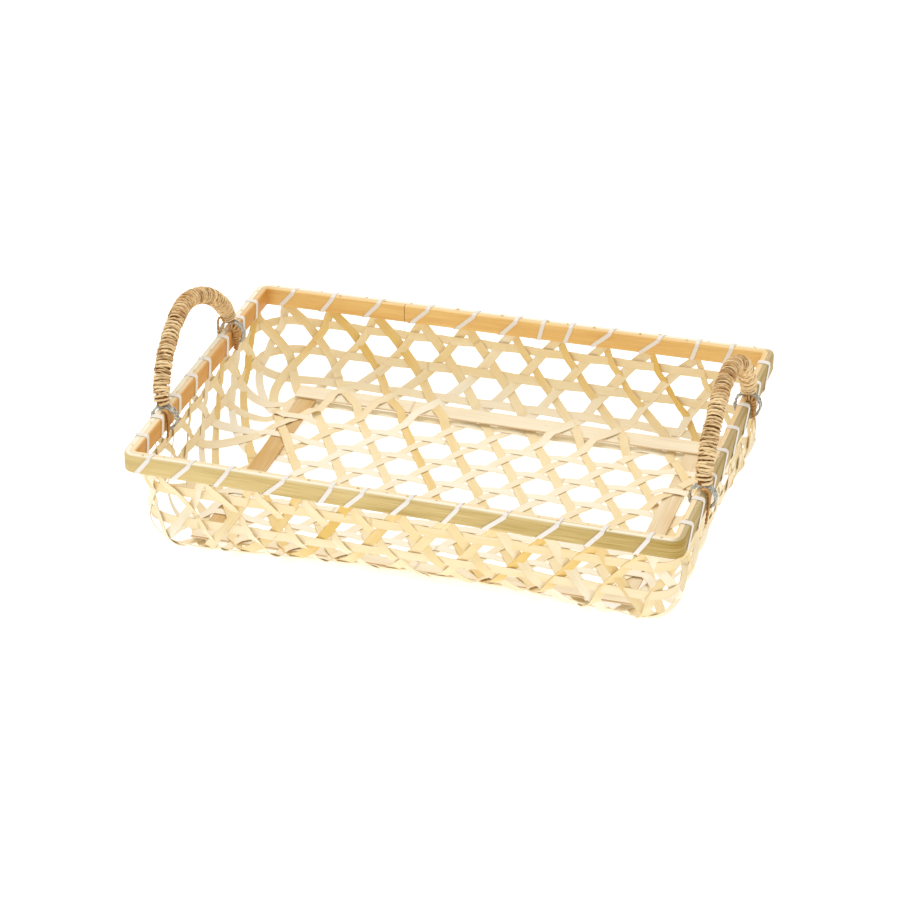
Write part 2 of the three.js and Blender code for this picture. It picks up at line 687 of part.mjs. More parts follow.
addWeave();
addWallHoop('wall_hoop_upper', UPPER_HOOP_LINE);
addWallHoop('wall_hoop_lower', LOWER_HOOP_LINE);
addRim();
addSlats();
addHandle('left', -RIM_MIDDLE_X, LEFT_HANDLE_TOP, -LEFT_HANDLE_LEAN);
addHandle('right', RIM_MIDDLE_X, RIGHT_HANDLE_TOP, 0);

export default basket;
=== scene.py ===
"""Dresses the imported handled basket: woven bamboo tray, lashed rim and twine-wound handles.

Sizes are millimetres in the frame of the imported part. They become metres when a mesh is made.
"""

import logging
import math
import random
from dataclasses import dataclass, field
from enum import Enum, IntEnum
from functools import cached_property

import bmesh
import bpy
import numpy as np
from mathutils import Matrix, Vector


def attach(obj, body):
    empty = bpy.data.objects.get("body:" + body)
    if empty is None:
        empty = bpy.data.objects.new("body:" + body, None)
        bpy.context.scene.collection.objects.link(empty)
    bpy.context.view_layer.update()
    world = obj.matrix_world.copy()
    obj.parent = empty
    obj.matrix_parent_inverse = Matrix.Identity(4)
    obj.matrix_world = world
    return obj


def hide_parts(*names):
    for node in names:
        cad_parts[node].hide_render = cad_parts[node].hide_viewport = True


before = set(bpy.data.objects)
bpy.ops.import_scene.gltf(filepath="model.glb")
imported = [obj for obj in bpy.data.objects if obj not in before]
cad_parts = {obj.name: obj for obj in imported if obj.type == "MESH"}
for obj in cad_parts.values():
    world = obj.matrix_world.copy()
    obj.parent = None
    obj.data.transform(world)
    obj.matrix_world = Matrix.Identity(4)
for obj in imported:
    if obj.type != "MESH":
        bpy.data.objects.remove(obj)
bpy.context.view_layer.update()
LOG = logging.getLogger("basket")
MM = 0.001
TINY = 1e-12
MERGE_DISTANCE = 1e-7
GRAIN_SHIFTS = 97
# Two-ply twine: its section, the bulge of its plies and the painted shade in the grooves on its inner side.
TWINE_SIDES = 10
TWINE_CREASE = 80.0
PLY_BULGE = 0.18
GROOVE_SHADE_FROM = 0.92
GROOVE_SHADE_SPREAD = 0.75
# Flat part, most easing and start of the cut edge of a strip, in shares of half its width or thickness.
FLAT_SHARE = 0.4
EASED_SHARE = 0.7
EDGE_SHARE = 0.99

UP = np.array([0.0, 0.0, 1.0])
Array = np.ndarray
Colour = tuple[float, float, float]
Place = tuple[float, float, float]
Socket = bpy.types.NodeSocket


class Body(str, Enum):
    """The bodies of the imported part."""

    TRAY = "tray"
    LEFT = "handle_left"
    RIGHT = "handle_right"


class Family(IntEnum):
    """The three directions of the weave. Each family lies over the next one in the cycle."""

    RISING = 0
    FALLING = 1
    LEVEL = 2


def smooth(value: Array) -> Array:
    """Eases a share from 0 to 1 with level ends."""
    share = np.clip(value, 0.0, 1.0)
    return share * share * (3.0 - 2.0 * share)


def unit(vectors: Array) -> Array:
    """Scales each row to length 1."""
    return vectors / np.maximum(np.linalg.norm(vectors, axis=-1, keepdims=True), TINY)


def run_length(points: Array) -> Array:
    """Gives the length along a row of points at each point."""
    steps = np.linalg.norm(np.diff(points, axis=0), axis=1)
    return np.concatenate([[0.0], np.cumsum(steps)])


def sampled(place: Array, along: Array, rows: Array) -> Array:
    """Reads rows of three numbers, which lie at lengths along a run, at other places on it."""
    return np.stack([np.interp(place, along, rows[:, axis]) for axis in range(3)], axis=1)


def wander(length: Array, pace: float, seed: int) -> Array:
    """Makes a smooth wandering value.

    Args:
        length: Places along a run.
        pace: Length between two turning points.
        seed: Seed of the random draw.

    Returns:
        A value between -1 and 1 for each place.
    """
    draw = random.Random(seed)
    knots = np.array([draw.uniform(-1.0, 1.0) for _ in range(int(length.max() / pace) + 3)])
    place = length / pace
    low = np.floor(place).astype(int)
    share = smooth(place - low)
    return knots[low] * (1.0 - share) + knots[low + 1] * share


def side_frames(points: Array, normals: Array, closed: bool = False) -> tuple[Array, Array]:
    """Finds the cross directions of a run.

    Args:
        points: Points of the run.
        normals: Rough normal at each point.
        closed: Whether the run joins its own start.

    Returns:
        The sideways and the upward unit vectors at each point.
    """
    if closed:
        runs = np.roll(points, -1, axis=0) - np.roll(points, 1, axis=0)
    else:
        runs = np.gradient(points, axis=0)
    runs = unit(runs)
    sideways = unit(np.cross(runs, normals))
    return sideways, np.cross(sideways, runs)


def place_section(points: Array, sideways: Array, upward: Array, section: Array) -> Array:
    """Puts a section, with sideways and upward columns, at each point of a run."""
    return (points[:, None, :] + sideways[:, None, :] * section[None, :, :1]
            + upward[:, None, :] * section[None, :, 1:2])


def round_section(radius: float, sides: int) -> Array:
    """Makes a round section."""
    angles = np.arange(sides) * 2.0 * math.pi / sides
    return radius * np.stack([np.cos(angles), np.sin(angles)], axis=1)


def rounded(points: Array, rounds: int = 4, cut: float = 0.25) -> Array:
    """Rounds a run by cutting its corners, with both ends kept.

    Args:
        points: Corners of the run.
        rounds: Number of times that the corners are cut.
        cut: Share of each stretch that is cut off at both of its ends.

    Returns:
        The points of the rounded run.
    """
    for _ in range(rounds):
        before, after = points[:-1], points[1:]
        cuts = np.stack([(1.0 - cut) * before + cut * after, cut * before + (1.0 - cut) * after], axis=1)
        points = np.concatenate([points[:1], cuts.reshape(-1, 3), points[-1:]])
    return points


def twisted_rings(points: Array, facing: Array, radius: Array, lay: float = 3.2) -> tuple[Array, Array]:
    """Makes the rings of a twine of two twisted plies.

    Args:
        points: Points of its middle line.
        facing: Direction at each point that counts as its outer side.
        radius: Radius at each point.
        lay: Length of a full twist.

    Returns:
        The rings, and a mark for each place on a ring that is 1 on the inner side, which is darkened there
        as painted shade of the grooves.
    """
    sideways, upward = side_frames(points, facing)
    around = np.arange(TWINE_SIDES) * (2.0 / TWINE_SIDES) * math.pi
    twist = run_length(points)[:, None] / lay * math.pi
    width = radius[:, None] * (1.0 + PLY_BULGE * np.cos(2.0 * (around[None, :] - twist)))
    rings = (points[:, None, :] + sideways[:, None, :] * (width * np.cos(around))[:, :, None]
             + upward[:, None, :] * (width * np.sin(around))[:, :, None])
    return rings, smooth((GROOVE_SHADE_FROM - np.sin(around)) / GROOVE_SHADE_SPREAD)


def wound(points: Array, normals: Array, place: Array, turn: Array, out: Array) -> tuple[Array, Array]:
    """Winds a line round a run.

    Args:
        points: Points of the run.
        normals: Normal at each point of the run.
        place: Length along the run at each step of the winding.
        turn: Turns made at each step.
        out: Distance from the run at each step.

    Returns:
        The points of the winding, and the directions away from the run.
    """
    along = run_length(points)
    sideways, upward = side_frames(points, normals)
    middle, across, up = (sampled(place, along, rows) for rows in (points, sideways, upward))
    angle = 2.0 * math.pi * turn[:, None]
    radial = unit(up * np.cos(angle) + across * np.sin(angle))
    return middle + radial * out[:, None], radial


def flat_section(width: float, thickness: float, easing: float) -> tuple[Array, Array]:
    """Makes the section of a split strip with eased edges.

    Args:
        width: Width of the strip.
        thickness: Thickness of the strip.
        easing: Size of the eased edge.

    Returns:
        The points of the section, and a mark for each that is 1 on the two cut edges.
    """
    half, rise = width / 2.0, thickness / 2.0
    inner, flank = half - easing, FLAT_SHARE * half
    low = rise - min(easing, EASED_SHARE * rise)
    upper = [(-inner, rise), (-flank, rise), (flank, rise), (inner, rise), (half, low)]
    points = np.array(upper + [(-x, -y) for x, y in upper])
    on_edge = np.abs(points[:, 0]) > EDGE_SHARE * half
    return points, on_edge.astype(float)


class Piece:
    """A mesh that is wrapped round rings of points and rides on a body of the frame."""

    def __init__(self, name: str, body: Body, look: "Finish", dresses: bool = True) -> None:
        """Starts an empty piece.

        Args:
            name: Name of the piece, or of the CAD node that it stands for.
            body: Body that it rides on.
            look: Finish of the piece.
            dresses: Whether it stands for a CAD node.
        """
        self.name = name + "_dressed" if dresses else name
        self.nodes = [name] if dresses else []
        self.body = body
        self.look = look
        self.slot = look.slot
        self.shape = bmesh.new()
        self.lay = self.shape.loops.layers.uv.new("lay")
        self.edge = self.shape.verts.layers.float.new("edge")
        self.tint = self.shape.verts.layers.float.new("tint")
        self.grain = self.shape.verts.layers.float.new("grain")
        self.grain_shift = float(sum(self.name.encode()) % GRAIN_SHIFTS)

    def wrap(self, rings: Array, along: Array, marks: Array, tint: float | Array,
             closed: bool = False) -> None:
        """Adds one closed body.

        Args:
            rings: Points by ring and by place on the ring.
            along: Length along the run at each ring.
            marks: Edge mark at each place on the ring, or on each ring.
            tint: Shade of this body, or of each of its rings, from 0 to 1.
            closed: Whether the last ring joins the first.
        """
        count, sides = rings.shape[:2]
        columns = count if closed else count - 1
        girth = np.linalg.norm(np.roll(rings[0], -1, axis=0) - rings[0], axis=1)
        around = np.concatenate([[0.0], np.cumsum(girth)])
        shades = np.broadcast_to(tint, count)
        edges = np.broadcast_to(marks, (count, sides))
        spacing = along[1] - along[0]
        lengths = np.append(along, along[-1] + spacing)
        grid = bmesh.ops.create_grid(self.shape, x_segments=columns, y_segments=sides, size=1.0)["verts"]
        index = {}
        for vert in grid:
            i = round((vert.co.x + 1.0) / 2.0 * columns)
            j = round((vert.co.y + 1.0) / 2.0 * sides)
            index[vert] = (i, j)
        faces = {face for vert in grid for face in vert.link_faces}
        for vert, (i, j) in index.items():
            vert.co = rings[i % count, j % sides] * MM
            vert[self.edge] = edges[i % count, j % sides]
            vert[self.tint] = shades[i % count]
            vert[self.grain] = self.grain_shift
        for face in faces:
            face.smooth = True
            for loop in face.loops:
                i, j = index[loop.vert]
                loop[self.lay].uv = (lengths[i] * MM, around[j] * MM)
        bmesh.ops.remove_doubles(self.shape, verts=grid, dist=MERGE_DISTANCE)

    def thread(self, curve: Array, facing: Array, radius: float, sides: int, tint: float,
               mark: float = 0.0) -> None:
        """Adds a round thread.

        Args:
            curve: Points of its middle line.
            facing: Rough normal at each point, or at all of them.
            radius: Radius of the thread.
            sides: Sides of its section.
            tint: Shade of the thread.
            mark: Edge mark of the thread.
        """
        sideways, upward = side_frames(curve, facing)
        rings = place_section(curve, sideways, upward, round_section(radius, sides))
        self.wrap(rings, run_length(curve), np.full(sides, mark), tint)

    def finish(self, crease: float = 40.0, lean: Matrix = Matrix.Identity(4)) -> None:
        """Turns the shape into an object that rides on its body.

        Args:
            crease: Angle in degrees above which an edge stays sharp.
            lean: Turn of the whole piece.
        """
        ends = [edge for edge in self.shape.edges if edge.is_boundary]
        bmesh.ops.holes_fill(self.shape, edges=ends, sides=0)
        bmesh.ops.transform(self.shape, matrix=lean, verts=self.shape.verts)
        bmesh.ops.recalc_face_normals(self.shape, faces=self.shape.faces)
        mesh = bpy.data.meshes.new(self.name)
        self.shape.to_mesh(mesh)
        self.shape.free()
        mesh.set_sharp_from_angle(angle=math.radians(crease))
        mesh.materials.append(self.look.made)
        piece = bpy.data.objects.new(self.name, mesh)
        bpy.context.scene.collection.objects.link(piece)
        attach(piece, self.body.value)
        self.slot
        if self.nodes:
            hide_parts(*self.nodes)
        LOG.info("%s: %d faces on %s", self.name, len(mesh.polygons), self.body.value)


@dataclass(frozen=True)
class Grain:
    """A stretched noise pattern that follows the lay of a piece.

    Attributes:
        along: Marks for each metre along the piece.
        across: Marks for each metre across it.
        detail: Detail of the noise.
        low: Noise that counts as none.
        high: Noise that counts as full.
    """

    along: float
    across: float
    detail: float
    low: float
    high: float


BAMBOO_FIBRES = Grain(28.0, 2600.0, 3.0, 0.3, 0.7)
BAMBOO_PATCHES = Grain(14.0, 120.0, 2.0, 0.3, 0.7)
BAMBOO_SPECKS = Grain(150.0, 900.0, 2.0, 0.7, 0.76)
TWINE_FIBRES = Grain(260.0, 2400.0, 3.0, 0.32, 0.68)


class NodeTree:
    """Builds the node tree of a material."""

    def __init__(self, name: str) -> None:
        """Starts a material with one surface shader.

        Args:
            name: Name of the material.
        """
        self.material = bpy.data.materials.new(name)
        self.material.use_nodes = True
        self.tree = self.material.node_tree
        self.shader = next(n for n in self.tree.nodes if n.type == "BSDF_PRINCIPLED")

    def join(self, value: object, socket: Socket) -> None:
        """Links a socket to an input, or sets a plain value there.

        Args:
            value: Socket or plain value.
            socket: Input that takes it.
        """
        if isinstance(value, Socket):
            self.tree.links.new(value, socket)
        else:
            socket.default_value = value

    def node(self, kind: str, inputs: dict[str, object]) -> bpy.types.Node:
        """Adds a node.

        Args:
            kind: Type of the node.
            inputs: Socket or plain value for each named input.

        Returns:
            The new node.
        """
        node = self.tree.nodes.new(kind)
        for name, value in inputs.items():
            self.join(value, node.inputs[name])
        return node

    def math(self, kind: str, *values: object) -> Socket:
        """Adds a Math node.

        Args:
            kind: Operation of the node.
            values: Its inputs in order.

        Returns:
            The result.
        """
        node = self.tree.nodes.new("ShaderNodeMath")
        node.operation = kind
        for value, socket in zip(values, node.inputs):
            self.join(value, socket)
        return node.outputs[0]

    def swing(self, value: Socket, share: float) -> Socket:
        """Scales a pattern about its middle."""
        return self.math("MULTIPLY", self.math("SUBTRACT", value, 0.5), share)

    def blend(self, share: object, first: object, second: object) -> Socket:
        """Mixes two colours.

        Args:
            share: Share of the second colour.
            first: First colour.
            second: Second colour.

        Returns:
            The mixed colour.
        """
        node = self.tree.nodes.new("ShaderNodeMix")
        node.data_type = "RGBA"
        node.clamp_factor = True
        for name, value in (("Factor_Float", share), ("A_Color", first), ("B_Color", second)):
            socket = next(s for s in node.inputs if s.identifier == name)
            self.join((*value, 1.0) if isinstance(value, tuple) else value, socket)
        return next(s for s in node.outputs if s.identifier == "Result_Color")

    def attribute(self, name: str) -> Socket:
        """Reads a number that is stored on the piece.

        Args:
            name: Name of the attribute.

        Returns:
            The number.
        """
        node = self.tree.nodes.new("ShaderNodeAttribute")
        node.attribute_name = name
        return node.outputs["Fac"]

    def scaled(self, source: Socket, scale: Place) -> Socket:
        """Scales a coordinate."""
        return self.node("ShaderNodeMapping", {"Vector": source, "Scale": scale}).outputs[0]

    def lay(self, along: float, across: float) -> Socket:
        """Reads the lay of a piece.

        Args:
            along: Scale along the piece.
            across: Scale across it.

        Returns:
            The coordinate.
        """
        source = self.tree.nodes.new("ShaderNodeUVMap")
        source.uv_map = "lay"
        return self.scaled(source.outputs[0], (along, across, 1.0))

    def noise(self, vector: Socket, detail: float, shift: object = 0.0) -> Socket:
        """Adds a noise pattern.

        Args:
            vector: Coordinate of the pattern.
            detail: Detail of the noise.
            shift: Fourth coordinate, which gives each piece its own pattern.

        Returns:
            The noise.
        """
        node = self.node("ShaderNodeTexNoise", {"Vector": vector, "Scale": 1.0, "Detail": detail})
        node.noise_dimensions = "4D"
        self.join(shift, node.inputs["W"])
        return node.outputs[0]

    def ramp(self, value: Socket, low: float, high: float) -> Socket:
        """Stretches a value from low and high to 0 and 1."""
        node = self.node("ShaderNodeMapRange", {"Value": value, "From Min": low, "From Max": high})
        return node.outputs[0]

    def grain(self, kind: Grain, shift: object = 0.0) -> Socket:
        """Adds a pattern from 0 to 1 that follows the lay of the piece."""
        pattern = self.noise(self.lay(kind.along, kind.across), kind.detail, shift)
        return self.ramp(pattern, kind.low, kind.high)

    def mottle(self, scale: float, detail: float, low: float, high: float) -> Socket:
        """Adds an even pattern from 0 to 1 on the place in the frame.

        Args:
            scale: Marks for each metre.
            detail: Detail of the noise.
            low: Noise that counts as none.
            high: Noise that counts as full.

        Returns:
            The pattern.
        """
        source = self.tree.nodes.new("ShaderNodeTexCoord")
        place = self.scaled(source.outputs["Object"], (scale, scale, scale))
        return self.ramp(self.noise(place, detail), low, high)

    def bump(self, height: Socket, strength: float, distance: float) -> None:
        """Bumps the surface by a height."""
        node = self.node("ShaderNodeBump", {"Height": height, "Strength": strength, "Distance": distance})
        self.tree.links.new(node.outputs[0], self.shader.inputs["Normal"])

    def surface(self, colour: object, roughness: object, specular: float) -> None:
        """Sets the colour, roughness and gloss of the shader.

        Args:
            colour: Colour socket, or a plain colour with its alpha.
            roughness: Roughness socket or plain roughness.
            specular: Gloss level.
        """
        self.join(colour, self.shader.inputs["Base Color"])
        self.join(roughness, self.shader.inputs["Roughness"])
        self.join(specular, self.shader.inputs["Specular IOR Level"])


@dataclass(frozen=True)
class BambooFinish:
    """Split bamboo with fibres along it, a shade for each strip and faint nodes.

    Attributes:
        name: Name of the material.
        slot: Name of its material slot.
        pale: Colour of the lightest strips.
        deep: Colour of the darkest strips.
        cut: Colour of the cut edges.
        stain: Colour of nodes and stains.
        fibre: Share of the fibre streaks in the colour.
        blotch: Share of the broad patches in the colour.
        stained: Share of the stain where it shows.
        knot_pace: Length between two nodes of the cane, in metres.
        roughness: Least roughness.
        specular: Gloss level.
        knot_shift: Length by which each grain shift moves the nodes, in metres.
        knot_halves: Half the width of a node at its edge and at its middle, in metres.
        fibre_roughness: Roughness that the fibres add.
        fibre_relief: Strength and distance of the fibres' bump.
    """

    name: str
    slot: str
    pale: Colour
    deep: Colour
    cut: Colour
    stain: Colour
    fibre: float = 0.35
    blotch: float = 0.35
    stained: float = 0.28
    knot_pace: float = 0.19
    roughness: float = 0.42
    specular: float = 0.35
    knot_shift: float = 0.083
    knot_halves: tuple[float, float] = (0.0014, 0.0006)
    fibre_roughness: float = 0.18
    fibre_relief: tuple[float, float] = (0.25, 0.00012)

    def knots(self, tree: NodeTree, shift: Socket) -> Socket:
        """Marks the thin nodes of the cane.

        Args:
            tree: Node tree of the material.
            shift: Grain shift of the piece.

        Returns:
            The mark, which is 1 in the middle of a node.
        """
        run = tree.node("ShaderNodeSeparateXYZ", {"Vector": tree.lay(1.0, 1.0)}).outputs[0]
        travel = tree.math("MULTIPLY_ADD", shift, self.knot_shift, run)
        return tree.ramp(tree.math("PINGPONG", travel, self.knot_pace), *self.knot_halves)

    def material(self) -> bpy.types.Material:
        """Builds the node material.

        Returns:
            The material.
        """
        tree = NodeTree(self.name)
        shift = tree.attribute("grain")
        fibres = tree.grain(BAMBOO_FIBRES, shift)
        streaks = tree.swing(fibres, self.fibre)
        patches = tree.swing(tree.grain(BAMBOO_PATCHES, shift), self.blotch)
        share = tree.math("ADD", tree.attribute("tint"), tree.math("ADD", streaks, patches))
        colour = tree.blend(share, self.pale, self.deep)
        stain = tree.math("MAXIMUM", self.knots(tree, shift), tree.grain(BAMBOO_SPECKS, shift))
        colour = tree.blend(tree.math("MULTIPLY", stain, self.stained), colour, self.stain)
        colour = tree.blend(tree.attribute("edge"), colour, self.cut)
        rough = tree.math("MULTIPLY_ADD", fibres, self.fibre_roughness, self.roughness)
        tree.surface(colour, rough, self.specular)
        tree.bump(fibres, *self.fibre_relief)
        return tree.material


@dataclass(frozen=True)
class TwineFinish:
    """Two-ply plant-fibre twine with loose fibres.

    Attributes:
        name: Name of the material.
        slot: Name of its material slot.
        pale: Colour of the outer fibres.
        deep: Colour between the fibres.
        groove: Colour of the painted shade on the strand's inner side, in the grooves.
        grooved: Share of that painted shade where it shows.
        fibre: Share of the fibres in the shade.
        patch: Share of the broad patches in the shade.
        patches: Scale, detail and range of the broad patches.
        roughness: Roughness.
        specular: Gloss level.
        fibre_relief: Strength and distance of the fibres' bump.
    """

    name: str
    slot: str
    pale: Colour
    deep: Colour
    groove: Colour = (0.33, 0.13, 0.022)
    grooved: float = 0.92
    fibre: float = 0.6
    patch: float = 0.4
    patches: tuple[float, ...] = (90.0, 2.0, 0.3, 0.7)
    roughness: float = 0.85
    specular: float = 0.15
    fibre_relief: tuple[float, float] = (0.6, 0.0003)

    def material(self) -> bpy.types.Material:
        """Builds the node material.

        Returns:
            The material.
        """
        tree = NodeTree(self.name)
        fibres = tree.grain(TWINE_FIBRES)
        patches = tree.math("MULTIPLY", tree.mottle(*self.patches), self.patch)
        share = tree.math("MULTIPLY_ADD", fibres, self.fibre, patches)
        share = tree.math("ADD", share, tree.math("SUBTRACT", tree.attribute("tint"), 0.5))
        colour = tree.blend(share, self.deep, self.pale)
        # Painted shade: the inner side of each strand, down in the grooves between turns, is darkened.
        groove = tree.math("MULTIPLY", tree.attribute("edge"), self.grooved)
        tree.surface(tree.blend(groove, colour, self.groove), self.roughness, self.specular)
        tree.bump(fibres, *self.fibre_relief)
        return tree.material


@dataclass(frozen=True)
class WireFinish:
    """Dull coated wire, with pale spots that are painted highlights.

    Attributes:
        name: Name of the material.
        slot: Name of its material slot.
        pale: Colour of the painted highlights.
        deep: Colour of the coat.
        wear: Scale, detail and range of the painted highlight spots.
        roughness: Roughness of the coat.
        worn_roughness: Roughness that those spots add.
        specular: Gloss level.
        wear_relief: Strength and distance of those spots' bump.
    """

    name: str
    slot: str
    pale: Colour
    deep: Colour
    wear: tuple[float, ...] = (700.0, 3.0, 0.35, 0.65)
    roughness: float = 0.4
    worn_roughness: float = 0.2
    specular: float = 0.4
    wear_relief: tuple[float, float] = (0.2, 0.0001)

    def material(self) -> bpy.types.Material:
        """Builds the node material.

        Returns:
            The material.
        """
        tree = NodeTree(self.name)
        # Painted highlights: pale spots over the dark coat stand for the glints of the twisted wire.
        wear = tree.mottle(*self.wear)
        rough = tree.math("MULTIPLY_ADD", wear, self.worn_roughness, self.roughness)
        tree.surface(tree.blend(wear, self.deep, self.pale), rough, self.specular)
        tree.bump(wear, *self.wear_relief)
        return tree.material


class Finish(Enum):
    """The finishes of the basket."""

    PALE = BambooFinish("pale_bamboo", "bamboo_pale", (0.93, 0.86, 0.69), (0.84, 0.66, 0.34),
                        (0.66, 0.44, 0.2), (0.42, 0.24, 0.08), fibre=0.45)
    GOLDEN = BambooFinish("golden_bamboo", "bamboo_golden", (0.88, 0.74, 0.46), (0.77, 0.51, 0.13),
                          (0.58, 0.36, 0.12), (0.4, 0.22, 0.07), fibre=0.45)
    SLAT = BambooFinish("slat_bamboo", "slat", (0.93, 0.84, 0.64), (0.62, 0.38, 0.12),
                        (0.5, 0.28, 0.1), (0.4, 0.2, 0.07), fibre=0.5, blotch=0.3)
    RIM_OUTER = BambooFinish("rim_skin", "rim_outer", (0.7, 0.535, 0.235), (0.36, 0.225, 0.035),
                             (0.9, 0.83, 0.64), (0.2, 0.12, 0.04), fibre=0.8, blotch=0.6, stained=0.75,
                             knot_pace=9.0, roughness=0.4, specular=0.16)
    RIM_INNER = BambooFinish("rim_flesh", "rim_inner", (0.9, 0.62, 0.23), (0.65, 0.3, 0.05),
                             (0.88, 0.71, 0.44), (0.3, 0.15, 0.05), fibre=0.5, blotch=0.4, stained=0.3,
                             knot_pace=9.0)
    LASHING = BambooFinish("white_cane", "lashing", (0.85, 0.8, 0.73), (0.72, 0.65, 0.56),
                           (0.66, 0.58, 0.48), (0.5, 0.42, 0.32), fibre=0.4, blotch=0.3, stained=0.1)
    TWINE = TwineFinish("tan_twine", "twine", (0.98, 0.76, 0.43), (0.46, 0.21, 0.045))
    # The core's dark brown is painted shade: the core shows only in the gaps between the turns of twine.
    CORE = TwineFinish("dark_core", "twine", (0.42, 0.19, 0.04), (0.3, 0.12, 0.02))
    WIRE = WireFinish("dull_wire", "tie_wire", (0.8, 0.8, 0.74), (0.26, 0.26, 0.2))

    @cached_property
    def made(self) -> bpy.types.Material:
        """The material, built once."""
        return self.value.material()

    @property
    def slot(self) -> str:
        """The slot name of this finish."""
        return self.value.slot


@dataclass
class TraySurface:
    """The curved surface of the weave, in round-the-tray counts, lines up the profile and depths.

    A count is 0 at the middle of the front and grows by 1 with each rim crossing to the right.
    A line is the length up the profile from the edge of the flat floor. A depth is measured
    inwards from the outer face of the weave.

    Attributes:
        rim_length: Length of the rim over its outer faces.
        rim_depth: Depth of the rim over its outer faces.
        rim_top: Height of the top of the rim.
        rim_height: Height of the rim's section.
        rim_width: Width of the rim's section.
        rim_corner: Corner radius of the rim's outer face.
        wall_inset: Distance of the wall above its bend from the rim's outer face.
        bend: Radius of the bend from floor to wall.
        floor_corner: Corner radius of the flat floor.
        corner_flares: Growth of the corner radius up the bend, in each corner.
        corner_bends: Radius of the bend in each corner.
        long_easings: Counts along the long side in which the bend eases from each corner.
        short_easings: Counts along the short side in which it does.
        least_corner: Least corner radius of the wall.
        rim_blend: Height below the rim in which the wall takes on the rim's corners.
        slot_inset: Distance of the slot between the hoops from the rim's outer face.
        long_half: Counts in half a long side.
        quarter: Counts in a quarter of the way round.
        row_height: Height of a row of the wall's weave.
        floor_rows: Long strips of the floor.
        diagonals: Diagonals each way, with the two that the corners leave no room for.
        corner_pass: Distance at which the outermost of those would pass the floor's corner.
        tip_drop: Distance of the strips' tips below the top of the rim.
        settle_share: Share of the bend in which a strip comes to its slope on the wall.
        warp: Rise of two opposite rim corners and fall of the others.
    """

    rim_length: float = 360.0
    rim_depth: float = 260.0
    rim_top: float = 70.0
    rim_height: float = 12.5
    rim_width: float = 7.6
    rim_corner: float = 8.4
    wall_inset: float = 5.0
    bend: float = 33.0
    floor_corner: float = 6.0
    corner_flares: tuple[float, ...] = (0.4, 0.6, 0.7, 0.7)
    corner_bends: tuple[float, ...] = (19.0, 19.0, 19.0, 20.0)
    long_easings: tuple[float, ...] = (3.4, 3.4, 3.4, 5.4)
    short_easings: tuple[float, ...] = (5.6, 5.6, 3.4, 3.4)
    least_corner: float = 0.5
    rim_blend: float = 14.0
    slot_inset: float = 2.1
    long_half: float = 5.5
    quarter: float = 9.5
    row_height: float = 21.0
    floor_rows: int = 8
    diagonals: int = 14
    corner_pass: float = 7.6
    tip_drop: float = 0.7
    settle_share: float = 0.87
    warp: float = 1.6

    def __post_init__(self) -> None:
        """Works out the values that follow from the sizes."""
        self.flat_x = self.rim_length / 2.0 - self.wall_inset - self.bend
        self.flat_y = self.rim_depth / 2.0 - self.wall_inset - self.bend
        self.rim_bottom = self.rim_top - self.rim_height
        self.flare = self.wall_inset - self.slot_inset
        self.slot_corner = self.rim_corner - self.slot_inset
        self.bend_length = self.bend * math.pi / 2.0
        self.settle = self.settle_share * self.bend_length
        self.lean = 1.0 / (2.0 * self.row_height)
        self.crossing_line = self.line_at(self.rim_bottom)
        self.tip_line = self.line_at(self.rim_top - self.tip_drop)
        rows_down = (3.5, 2.5, 1.5, 0.5)
        lines = [self.crossing_line - rows * self.row_height for rows in rows_down]
        self.edge_line, self.fold_line, *self.hoop_lines = lines
        self.row_spacing = 2.0 * (self.flat_y + self.edge_line) / (self.floor_rows - 1)
        reach = (self.diagonals - 1) / 2.0 - self.flat_y / (2.0 * self.row_spacing)
        self.diagonal_pitch = (self.flat_x + self.corner_pass) / reach
        self.diagonal_lean = self.diagonal_pitch / (2.0 * self.row_spacing)
        arc = self.floor_corner * (math.pi / 4.0 - 1.0)
        self.long_pitch = (self.flat_x + arc) / self.long_half
        self.short_pitch = (self.flat_y + arc) / (self.quarter - self.long_half)

    def line_at(self, height: float) -> float:
        """Finds the line at a height on the upright wall."""
        return self.bend_length + height - self.bend

    def local(self, count: Array) -> tuple[Array, Array]:
        """Splits counts by the quadrants of the tray.

        Args:
            count: Counts round the tray.

        Returns:
            The quadrants, and the counts from the middle of each quadrant's long side.
        """
        turns = np.mod(count, 4.0 * self.quarter)
        quadrant = np.floor(turns / self.quarter).astype(int)
        along = turns - quadrant * self.quarter
        return quadrant, np.where(quadrant % 2 == 0, along, self.quarter - along)

    def plan(self, count: Array, half_x: Array, half_y: Array, radius: Array) -> tuple[Array, Array]:
        """Finds points on a rounded rectangle.

        Args:
            count: Counts round the tray.
            half_x: Half the length of the rectangle at each point.
            half_y: Half the depth of the rectangle at each point.
            radius: Corner radius at each point.

        Returns:
            The x and y of each point.
        """
        quadrant, local = self.local(count)
        straight_x, straight_y = half_x - radius, half_y - radius
        arc = radius * math.pi / 4.0
        long_run = local / self.long_half * (straight_x + arc)
        turn = np.maximum(long_run - straight_x, 0.0) / radius
        long_x = np.minimum(long_run, straight_x) + radius * np.sin(turn)
        long_y = -straight_y - radius * np.cos(turn)
        short_run = (self.quarter - local) / (self.quarter - self.long_half) * (straight_y + arc)
        turn = np.maximum(short_run - straight_y, 0.0) / radius
        short_x = straight_x + radius * np.cos(turn)
        short_y = -np.minimum(short_run, straight_y) - radius * np.sin(turn)
        on_long = local <= self.long_half
        mirror_x = np.where(quadrant < 2, 1.0, -1.0)
        mirror_y = np.where((quadrant == 0) | (quadrant == 3), 1.0, -1.0)
        return np.where(on_long, long_x, short_x) * mirror_x, np.where(on_long, long_y, short_y) * mirror_y

